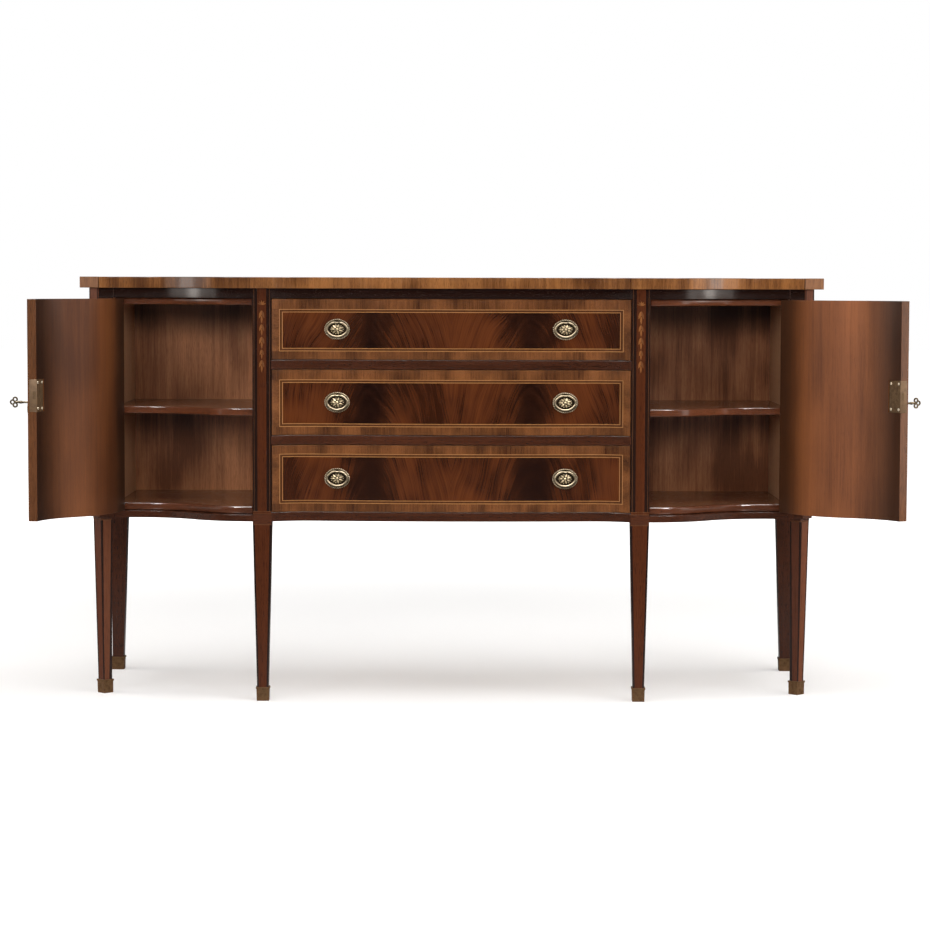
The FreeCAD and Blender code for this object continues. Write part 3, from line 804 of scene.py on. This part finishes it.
def on_door_rim(place, low, high):
    """Whether a place on a closed door is on its outer edges, clear of the hinges and the lock."""
    across = abs(place.x)
    near, lock_clear, lock_reach, leaf_half, leaf_reach = 2e-4, 0.004, 0.05, 0.034, 0.003
    at_end = min(abs(across - door_in), abs(across - door_out)) < near
    at_rim = min(abs(place.z - low.z), abs(place.z - high.z)) < near
    at_lock = lock_low.z - lock_clear < place.z < lock_high.z + lock_clear
    beside_lock = at_lock and across < door_in + lock_reach
    at_leaf = any(abs(place.z - level) < leaf_half for level in hinge_levels(low, high))
    beside_leaf = at_leaf and across > door_out - leaf_reach
    return (at_end or at_rim) and not (beside_lock and not at_end) and not beside_leaf


def hinge_levels(low, high):
    return low.z + hinge_inset, high.z - hinge_inset


# Posts and legs


def heading(degrees):
    """A level direction at an angle from X."""
    angle = math.radians(degrees)
    return Vector((math.cos(angle), math.sin(angle), 0))


def band_leg(piece, centre, turn, top, foot):
    """Scores the four faces of a leg for bands along its edges."""
    slope = math.atan((top - foot) / (leg_top - leg_base))
    for quarter in range(4):
        outward = heading(turn + 90 * quarter)
        beside = Vector((-outward.y, outward.x, 0))
        for way in (-1, 1):
            cut(
                piece, lambda c, n: c.z < leg_top and n.dot(outward) > 0.9,
                centre + beside * way * (top - leg_band) + Z * leg_top,
                beside * way * math.cos(slope) - Z * math.sin(slope),
            )


def score_cuff(piece):
    """Scores a post for the lines of its cuff."""
    for pair in cuff_lines:
        for level in pair:
            cut(piece, lambda c, n: abs(n.z) < 0.5, (0, 0, level), Z)


def leg_finish(c, n, centre, turn, top, foot, field):
    """Finish of a leg face: bands along its edges, and the cuff with its lines above."""
    if any(low < c.z < high for low, high in cuff_lines):
        return boxwood_shaded
    if cuff_lines[0][1] < c.z < cuff_lines[1][0]:
        return cuff_band
    if c.z > leg_top:
        return None
    half = foot + (top - foot) * (c.z - leg_base) / (leg_top - leg_base)
    beside = min(heading(turn), heading(turn + 90), key=lambda way: abs(n.dot(way)))
    return case_dark if abs((c - centre).dot(beside)) > half - leg_band else field


def upright_edge(start, end):
    return abs(start.z - end.z) > 0.9 * (start - end).length and (start - end).length > 0.1


def make_inner_post(side):
    """An inner post and leg, with stripes down its face."""
    centre = Vector((sides[side] * post_x, face_y + post_half, 0))
    piece = bench_copy("inner_post_" + side)
    soften(piece, arris["inner_post"], upright_edge)
    score_cuff(piece)
    band_leg(piece, centre, 0, post_half, inner_foot_half)
    for stripe in post_stripes:
        for way in (-1, 1):
            line = centre + X * way * stripe
            cut(piece, lambda c, n: n.y < -0.9 and c.z > cuff_top, line, X)

    def choose(c, n):
        if abs(n.z) > 0.9:
            return case_mahogany
        found = leg_finish(c, n, centre, 0, post_half, inner_foot_half, case_field)
        if found:
            return found
        if n.y > -0.9:
            return case_mahogany
        aside = abs(c.x - centre.x)
        if aside < post_stripes[0]:
            return case_field
        return boxwood_shaded if post_stripes[1] < aside < post_stripes[2] else case_dark

    paint(piece, choose)
    smooth(piece)


def make_corner_post(side):
    """A corner post with its hinge stile, canted facet and leg."""
    sign = sides[side]
    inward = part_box("corner_post_right")[1].x - corner_leg_x
    centre = Vector((sign * corner_leg_x, stile_y + inward, 0))
    cant = Vector((sign, -1, 0)).normalized()
    beside = Vector((1, sign, 0)).normalized()
    facet_x = sign * (corner_leg_x + inward - corner_cant / 2)
    facet = Vector((facet_x, stile_y + corner_cant / 2, 0))
    piece = bench_copy("corner_post_" + side)
    soften(piece, arris["corner_post"], upright_edge)
    score_cuff(piece)
    band_leg(piece, centre, 45, corner_leg_half, corner_foot_half)
    for way in (-1, 1):
        line = facet + beside * way * corner_facet_half
        cut(piece, lambda c, n: n.dot(cant) > 0.95 and c.z > cuff_top, line, beside)
    door_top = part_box("door_" + side)[1].z
    cut(piece, lambda c, n: n.y < -0.9 and c.z > cuff_top, (0, 0, door_top), Z)

    def choose(c, n):
        if abs(n.z) > 0.9:
            return case_mahogany
        lean = (leg_top - c.z) / (leg_top - leg_base) * (corner_leg_half - corner_foot_half)
        middle = centre - cant * max(lean, 0)
        # Painted light and shade: leg faces turned right take the lighter copy, the others the darker one
        field = corner_leg_painted_light if n.x > 0.3 else corner_leg_field
        found = leg_finish(c, n, middle, 45, corner_leg_half, corner_foot_half, field)
        if found and (c.z < case_bottom or n.dot(cant) > 0.95):
            return found
        if n.dot(cant) > 0.95:
            aside = abs((c - facet).dot(beside))
            return corner_field if aside < corner_facet_half else corner_dark
        if n.dot(cant) > 0.75:
            return corner_field
        # Painted highlight on the stile's inner face
        if n.x * sign < -0.9 and c.z > cuff_top:
            return stile_inside_painted_light
        # The stile's front above the door takes the frieze's painted shade
        return frieze_mahogany_painted_shade if n.y < -0.9 and c.z > door_top else case_mahogany

    paint(piece, choose)
    smooth(piece)


def make_rear_post(side):
    piece = bench_copy("rear_post_" + side)
    soften(piece, arris["rear_post"], upright_edge)
    paint(piece, lambda c, n: case_mahogany)
    smooth(piece)


# Rails and boards


def make_rail(name, finish):
    piece = bench_copy(name)
    soften(piece, arris["rail"], lambda a, b: level_edge(a, b) and max(a.y, b.y) < rail_face_y)
    paint(piece, lambda c, n: finish)
    smooth(piece)


def make_boards(name):
    """A pair of cupboard boards with round, polished lips; the right one mirrors the left."""
    left, right = bench_copy(name + "left"), bench_copy(name + "right")
    soften(left, arris["board"], lambda a, b: level_edge(a, b) and max(a.y, b.y) < board_face_y)
    paint(left, lambda c, n: lip_mahogany if n.y < -0.2 else interior_level)
    right.data = left.data.copy()
    right.data.transform(Matrix.Scale(-1, 4, X))
    alone(right)
    bpy.ops.object.mode_set(mode="EDIT")
    bpy.ops.mesh.select_all(action="SELECT")
    bpy.ops.mesh.normals_make_consistent(inside=False)
    bpy.ops.object.mode_set(mode="OBJECT")
    smooth(left)
    smooth(right)


def make_back():
    """The back panel, with painted shade at the top and bottom of the cupboards."""
    cupboard_middle = Z * 0.60
    piece = bench_copy("back_panel")
    # Painted shade under the ceiling: the inside wood darkens above and below the cupboards' middle
    paint_shade_towards_ends(interior_upright, cupboard_middle, Z, inner=0.19, outer=0.265, least=0.45)
    paint(piece, lambda c, n: back_wood if n.y > 0.9 else interior_upright)
    smooth(piece)


# Painted shade: the cupboard sides darken from their front edge towards the back
lining_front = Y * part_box("side_lining_left")[0].y
paint_shade_towards_ends(cupboard_side_painted_light, lining_front, Y, inner=0.03, outer=0.10, least=0.80)
make_slab()
for drawer in drawers:
    make_drawer_front(drawer)
for side in sides:
    make_door(side)
    make_inner_post(side)
    make_corner_post(side)
    make_rear_post(side)
    make_rail("top_rail_" + side, frieze_mahogany_painted_shade)
    make_rail("bottom_rail_" + side, rail_mahogany)
    finish_node("end_panel_" + side, end_mahogany)
    finish_node("side_lining_" + side, cupboard_side_painted_light)
    finish_node("divider_" + side, interior_upright)
    for fitting in ("door_hinges_", "lock_case_", "lock_bolt_", "escutcheon_"):
        finish_node(fitting + side, lock_brass)
    finish_node("key_" + side, key_brass)
for board in ("cupboard_floor_", "cupboard_ceiling_", "shelf_"):
    make_boards(board)
make_rail("top_rail_centre", frieze_mahogany_painted_shade)
for rail in ("bottom_rail_centre", "drawer_rail_upper", "drawer_rail_lower"):
    make_rail(rail, rail_mahogany)
make_back()
finish_node("drawer_runners", lining_wood)
finish_node("strike_plates", lock_brass)
finish_node("case_hinges", lock_brass)
finish_node("sabots", sabot_brass)
for drawer in drawers:
    finish_node("drawer_box_" + drawer, lining_wood)
    finish_node("pull_plates_" + drawer, plate_brass)
    for side in sides:
        finish_node("bail_" + drawer + "_" + side, bail_brass)


# Fittings and inlay on the bench, copied to their places


def start_shape():
    """The primitive just added, opened for shaping."""
    bpy.ops.object.mode_set(mode="EDIT")
    bpy.ops.mesh.select_all(action="SELECT")


def done_shape():
    bpy.ops.object.mode_set(mode="OBJECT")
    return bpy.context.object


def spread(name, patterns):
    """Copies of pattern pieces, each at its places, joined into one piece."""
    copies = []
    for pattern, places in patterns:
        for place in places:
            copy = bpy.data.objects.new(name, pattern.data.copy())
            bpy.context.scene.collection.objects.link(copy)
            copy.data.transform(place)
            copies.append(copy)
    bpy.ops.object.select_all(action="DESELECT")
    for copy in copies:
        copy.select_set(True)
    bpy.context.view_layer.objects.active = copies[0]
    bpy.ops.object.join()
    return copies[0]


def put_away(*patterns):
    for pattern in patterns:
        bpy.data.objects.remove(pattern)


def make_block(size, middle):
    bpy.ops.object.select_all(action="DESELECT")
    bpy.ops.mesh.primitive_cube_add(size=1)
    start_shape()
    bpy.ops.transform.resize(value=size)
    bpy.ops.transform.translate(value=middle)
    return done_shape()


def carve(piece, tool):
    """Takes a tool's shape out of a piece, and puts the tool away."""
    carving = piece.modifiers.new("carving", "BOOLEAN")
    carving.operation = "DIFFERENCE"
    carving.object = tool
    apply_all(piece)
    put_away(tool)


def make_petal(finish, length, width, rise):
    """A leaf shape, pointed at its tip, with its root at the origin and a raised back."""
    bpy.ops.object.select_all(action="DESELECT")
    bpy.ops.mesh.primitive_circle_add(vertices=16, radius=0.5, fill_type="NGON")
    start_shape()
    bpy.ops.transform.resize(value=(width, length, 1))
    bpy.ops.transform.translate(value=(0, -length / 2, 0))
    bpy.ops.mesh.extrude_region_move(TRANSFORM_OT_translate={"value": (0, 0, rise * 0.6)})
    bpy.ops.mesh.inset(thickness=width * 0.22)
    bpy.ops.transform.translate(value=(0, 0, rise * 0.4))
    bpy.ops.mesh.select_all(action="SELECT")
    bpy.ops.mesh.normals_make_consistent(inside=False)
    petal = done_shape()
    for corner in petal.data.vertices:
        along = -corner.co.y / length
        corner.co.x *= 1.15 - 0.75 * along**2 - 0.45 * (1 - along) ** 3
    petal.data.materials.append(finish)
    bpy.ops.object.shade_smooth_by_angle(angle=math.radians(40))
    return petal


def make_bead(finish, long, wide, high):
    """A bead flattened underneath."""
    bpy.ops.object.select_all(action="DESELECT")
    bpy.ops.mesh.primitive_ico_sphere_add(subdivisions=2, radius=1)
    start_shape()
    bpy.ops.transform.resize(value=(long, wide, high))
    bpy.ops.mesh.bisect(plane_co=Z * -high / 2, plane_no=Z, clear_inner=True, use_fill=True)
    bead = done_shape()
    bead.data.materials.append(finish)
    bpy.ops.object.shade_smooth_by_angle(angle=math.radians(50))
    return bead


def make_screw(finish, radius, rise):
    """A countersunk screw head with a slot, its face towards +Z and its rim at the origin."""
    slot = make_block((radius * 3, radius * 0.26, rise * 2), (0, 0, rise * 1.3))
    bpy.ops.object.select_all(action="DESELECT")
    bpy.ops.mesh.primitive_cylinder_add(vertices=20, radius=radius, depth=rise * 2)
    screw = bpy.context.object
    pick_faces(screw, lambda c, n: n.z > 0.9)
    bpy.ops.mesh.bevel(offset=rise * 0.6, segments=2, affect="EDGES")
    bpy.ops.object.mode_set(mode="OBJECT")
    carve(screw, slot)
    screw.data.materials.append(finish)
    alone(screw)
    bpy.ops.object.shade_smooth_by_angle(angle=math.radians(35))
    return screw


def facing(place, outward, up=Z):
    """A place whose third axis points outward and whose second axis points up."""
    out = Vector(outward).normalized()
    up = Vector(up)
    across = up.cross(out).normalized()
    turned = Matrix((across, out.cross(across), out)).transposed()
    return Matrix.Translation(place) @ turned.to_4x4()


def oval_walk(half_long, half_short, count):
    """Places evenly along an oval, as a point and a heading."""
    steps = 720
    angles = [2 * math.pi * i / steps for i in range(steps + 1)]
    points = [Vector((half_long * math.cos(a), half_short * math.sin(a), 0)) for a in angles]
    lengths = [0.0]
    for a, b in zip(points, points[1:]):
        lengths.append(lengths[-1] + (b - a).length)
    places = []
    for k in range(count):
        wanted = lengths[-1] * k / count
        i = next(i for i in range(steps) if lengths[i + 1] > wanted)
        step = points[i + 1] - points[i]
        places.append((points[i], math.atan2(step.y, step.x)))
    return places


def make_husks():
    """Bellflower chains down the inner posts, graded in size, under a small fan."""
    petal = make_petal(husk_light, 1.0, 0.30, 0.020)
    shaded = make_petal(husk_shaded, 1.0, 0.30, 0.018)
    bed, rise = 0.0001, 0.016
    fan_drop, fan_length = 0.0365, 0.0100
    husk_drops = (0.0490, 0.0795, 0.1070, 0.1355, 0.1590)
    husk_lengths = (0.0285, 0.0250, 0.0265, 0.0210, 0.0270)
    for side, sign in sides.items():
        light, dark = [], []

        def lay(row, drop, length, angle, wide=1.0):
            turn = Matrix.Rotation(math.radians(angle), 4, "Z")
            size = Matrix.Diagonal((length * wide, length, rise, 1))
            origin = facing((sign * post_x, face_y + bed, slab_low.z - drop), -Y)
            row.append(origin @ turn @ size)

        for angle in (-70, -35, 0, 35, 70):
            lay(light if angle <= 0 else dark, fan_drop, fan_length, angle + 180, 1.1)
        for drop, length in zip(husk_drops, husk_lengths):
            lay(light, drop, length * 0.64, -18, 1.12)
            lay(dark, drop, length * 0.64, 18, 1.12)
            lay(light, drop + length * 0.40, length * 0.62, 0, 0.85)
        chain = spread("husk_chain_" + side, [(petal, light), (shaded, dark)])
        settle(chain, "case", "case")
    put_away(petal, shaded)


def make_pull_ornament():
    """Twisted rims and floral paterae on the pull plates."""
    twist = make_bead(bail_brass, 0.0024, 0.0011, 0.0015)
    petal = make_petal(petal_brass, 0.0080, 0.0034, 0.0018)
    button = make_bead(petal_brass, 0.0030, 0.0030, 0.0016)
    pearl = make_bead(petal_brass, 0.0010, 0.0010, 0.0012)
    twists, petals, flower_radius = 36, 7, 0.0125
    petal_ring, petal_level, petal_tilt = -0.0036, boss_top - 0.0006, 17
    pearl_ring, pearl_level = -0.0098, boss_top - 0.0018
    rim = oval_walk(pull_half[0] - pull_rim / 2, pull_half[1] - pull_rim / 2, twists)
    squash = Matrix.Diagonal((boss_half[0] / flower_radius, boss_half[1] / flower_radius, 1, 1))
    tilt = Matrix.Rotation(math.radians(petal_tilt), 4, "X")
    for drawer in drawers:
        low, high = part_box("pull_plates_" + drawer)
        twist_places, petal_places, button_places, pearl_places = [], [], [], []
        for sign in sides.values():
            slope = math.radians(sign * pull_slope)
            middle = (sign * pull_x, pull_y, (low.z + high.z) / 2)
            plate = facing(middle, (math.sin(slope), -math.cos(slope), 0))
            for point, along in rim:
                seat = Matrix.Translation(point + Z * (rim_height - 0.0001))
                skew = Matrix.Rotation(along + math.radians(30), 4, "Z")
                twist_places.append(plate @ seat @ skew)
            for i in range(petals):
                turn = Matrix.Rotation(math.radians(360 / petals * i + 12), 4, "Z")
                out = Matrix.Translation((0, petal_ring, petal_level))
                petal_places.append(plate @ squash @ turn @ out @ tilt)
                between = Matrix.Rotation(math.radians(180 / petals), 4, "Z")
                bud = turn @ between @ Matrix.Translation((0, pearl_ring, 0))
                seat = Matrix.Translation((0, 0, pearl_level))
                pearl_places.append(plate @ seat @ squash @ bud)
            button_places.append(plate @ Matrix.Translation((0, 0, boss_top + 0.0002)))
        patterns = (
            (twist, twist_places), (petal, petal_places),
            (button, button_places), (pearl, pearl_places),
        )
        settle(spread("pull_ornament_" + drawer, patterns), drawer + "_drawer", "pull_brass")
    put_away(twist, petal, button, pearl)


def make_door_screws():
    """Screws of the lock plates and of the hinge leaves."""
    domed = make_screw(screw_brass, 0.0030, 0.0009)
    flat = make_screw(screw_brass, 0.0030, 0.0004)
    lock_in, lock_down = 0.006, 0.007
    leaf_gap, leaf_y = 0.0015, stile_y + 0.009
    for side, sign in sides.items():
        opening = swing_of(side).inverted()
        low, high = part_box("door_" + side)
        back = face_y + door_thick + lock_proud
        lock_places, leaf_places, case_places = [], [], []
        for x in (door_in + lock_in, door_in + lock_length - lock_in):
            for z in (lock_low.z + lock_down, lock_high.z - lock_down):
                lock_places.append(opening @ facing((sign * x, back, z), Y))
        for level in hinge_levels(low, high):
            for z in (level - 0.020, level, level + 0.020):
                on_door = facing((sign * door_out, leaf_y, z), X * sign)
                leaf_places.append(opening @ on_door)
                case_places.append(facing((sign * (door_out + leaf_gap), leaf_y, z), -X * sign))
        patterns = [(domed, lock_places), (flat, leaf_places)]
        settle(spread("door_screws_" + side, patterns), side + "_door", "lock_brass")
        settle(spread("stile_screws_" + side, [(flat, case_places)]), "case", "lock_brass")
    put_away(domed, flat)


def make_selvedge(side):
    """The lock's edge plate, let in flush across the door's edge, with a mouth for the bolt."""
    sign = sides[side]
    opening = swing_of(side).inverted()
    thick, deep = 0.0006, 0.0172
    plate_y = face_y + door_thick + lock_proud - deep / 2
    middle = (sign * door_in, plate_y, (lock_low.z + lock_high.z) / 2)
    plate = make_block((thick, deep, lock_high.z - lock_low.z), middle)
    plate.name = "selvedge_" + side
    pick_faces(plate, lambda c, n: n.x * sign < -0.9)
    bpy.ops.mesh.bevel(offset=0.00025, segments=2, affect="EDGES")
    bpy.ops.object.mode_set(mode="OBJECT")
    bolt_low, bolt_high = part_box("lock_bolt_" + side)
    mouth_size = (0.004, 0.0058, bolt_high.z - bolt_low.z + 0.0008)
    mouth_middle = (sign * door_in, face_y + 0.0150, (bolt_low.z + bolt_high.z) / 2)
    carve(plate, make_block(mouth_size, mouth_middle))
    alone(plate)
    plate.data.transform(opening)
    plate.data.materials.append(selvedge_brass)
    bpy.ops.object.shade_smooth_by_angle(angle=math.radians(35))
    settle(plate, side + "_door", "lock_brass")


def make_back_screws():
    """Screws round the back board."""
    low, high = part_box("back_panel")
    screw = make_screw(screw_brass, 0.0036, 0.0008)
    side_in, level_in = 0.03, 0.02
    places = []
    for i in range(9):
        x = low.x + side_in + (high.x - low.x - 2 * side_in) * i / 8
        places += [facing((x, high.y, z), Y) for z in (low.z + level_in, high.z - level_in)]
    for i in (1, 2):
        z = low.z + level_in + (high.z - low.z - 2 * level_in) * i / 3
        places += [facing((x, high.y, z), Y) for x in (low.x + side_in, 0, high.x - side_in)]
    settle(spread("back_screws", [(screw, places)]), "case", "back")
    put_away(screw)


make_husks()
make_pull_ornament()
make_door_screws()
for side in sides:
    make_selvedge(side)
make_back_screws()


# Studio


def make_studio():
    """A white paper floor and a white surround that is dim in reflections."""
    bpy.ops.object.select_all(action="DESELECT")
    bpy.ops.mesh.primitive_plane_add(size=60, location=(0, 0, 0))
    floor = bpy.context.object
    floor.name = "floor"
    paper, tree, shader = new_finish("paper_floor")
    ray = node(tree, "LightPath", {}).outputs
    away = node(tree, "VectorMath", {0: object_place(tree)}, operation="LENGTH").outputs["Value"]
    glow = reckon(tree, "MULTIPLY", ramp(tree, away, 1.2, 4.5, 0.24, 1.0), ray["Is Camera Ray"])
    mirrored = ramp(tree, away, 0.4, 2.0, 0.65, 1.0)
    mirrored = reckon(tree, "MULTIPLY", mirrored, ray["Is Glossy Ray"])
    dimmed = blend(tree, mirrored, rgba((0.80, 0.80, 0.80)), rgba((0.06, 0.06, 0.06)))
    tree.links.new(dimmed, shader["Base Color"])
    shader["Roughness"].default_value = 0.9
    shader["Specular IOR Level"].default_value = 0.0
    shader["Emission Color"].default_value = (1, 1, 1, 1)
    tree.links.new(glow, shader["Emission Strength"])
    floor.data.materials.append(paper)
    studio = bpy.data.worlds.new("studio")
    bpy.context.scene.world = studio
    studio.use_nodes = True
    tree = studio.node_tree
    ray = node(tree, "LightPath", {}).outputs
    strength = add_share(tree, ray["Is Camera Ray"], ray["Is Diffuse Ray"], 0.10)
    strength = add_share(tree, strength, ray["Is Glossy Ray"], 0.03)
    background = tree.nodes["Background"]
    background.inputs["Color"].default_value = (1, 1, 1, 1)
    tree.links.new(strength, background.inputs["Strength"])


def add_softbox(name, place, aim, width, height, power, sheen=True, fill=True, tint=(1, 1, 1)):
    """An area light; without sheen it gives no highlights, and without fill only those."""
    light = bpy.data.lights.new(name, "AREA")
    light.shape = "RECTANGLE"
    light.size, light.size_y = width, height
    light.energy = power
    light.color = tint
    lamp = bpy.data.objects.new(name, light)
    bpy.context.scene.collection.objects.link(lamp)
    lamp.visible_glossy = sheen
    lamp.visible_diffuse = fill
    lamp.location = place
    lamp.rotation_euler = (Vector(aim) - Vector(place)).to_track_quat("-Z", "Y").to_euler()


def add_camera():
    """The photograph's view: level with the top, from in front and a little to the right."""
    sensor, focal_pixels, frame_pixels = 36, 2791.4, 930
    down, tilt = 3.842, 0.155
    lens = bpy.data.cameras.new("camera")
    lens.sensor_width = sensor
    lens.lens = sensor * focal_pixels / frame_pixels
    camera = bpy.data.objects.new("camera", lens)
    bpy.context.scene.collection.objects.link(camera)
    camera.location = (0.031, -6.466, slab_high.z)
    tip = Matrix.Rotation(math.radians(90 - down), 3, "X")
    roll = Matrix.Rotation(math.radians(tilt), 3, "Z")
    camera.rotation_euler = (tip @ roll).to_euler()
    bpy.context.scene.camera = camera


make_studio()
case_middle = (0, 0, 0.6)
warm = (1.0, 0.92, 0.85)
add_softbox("front", (-0.4, -7.0, 1.9), case_middle, 2.4, 1.2, 143, sheen=False)
for name, sign in (("right", 1), ("left", -1)):
    add_softbox("front_" + name, (sign * 3.4, -6.2, 1.9), case_middle, 1.6, 1.4, 85, sheen=False)
for name, sign, power in (("right", 1, 1.15), ("left", -1, 1.05)):
    wide, mid, core = (sign * 3.3, -0.5, 1.3), (sign * 3.2, 0.2, 1.3), (sign * 3.1, 0.2, 1.3)
    add_softbox(name + "_wide", wide, case_middle, 3.4, 2.2, 25 * power, tint=warm)
    add_softbox(name + "_mid", mid, case_middle, 1.9, 1.6, 14 * power, tint=warm)
    add_softbox(name + "_core", core, case_middle, 0.9, 1.0, 9 * power, tint=warm)
add_softbox("right_fill", (4.2, -3.4, 1.5), (0.3, 0, 0.6), 1.6, 1.6, 86, sheen=False)
add_softbox("overhead", (0, -0.8, 3.6), (0, 0, 0), 4.0, 3.0, 100)
add_softbox("glint", (0, -0.9, 3.4), (0, 0, 0.5), 3.6, 1.4, 230, fill=False)
for name, sign in (("right", 1), ("left", -1)):
    place = (sign * 3.6, -5.5, 4.0)
    add_softbox("lip_glint_" + name, place, case_middle, 1.2, 1.2, 280, fill=False)
add_softbox("rear", (0, 6.5, 2.4), case_middle, 3.0, 1.4, 90, sheen=False)
add_camera()
bpy.context.scene.view_settings.view_transform = "Standard"
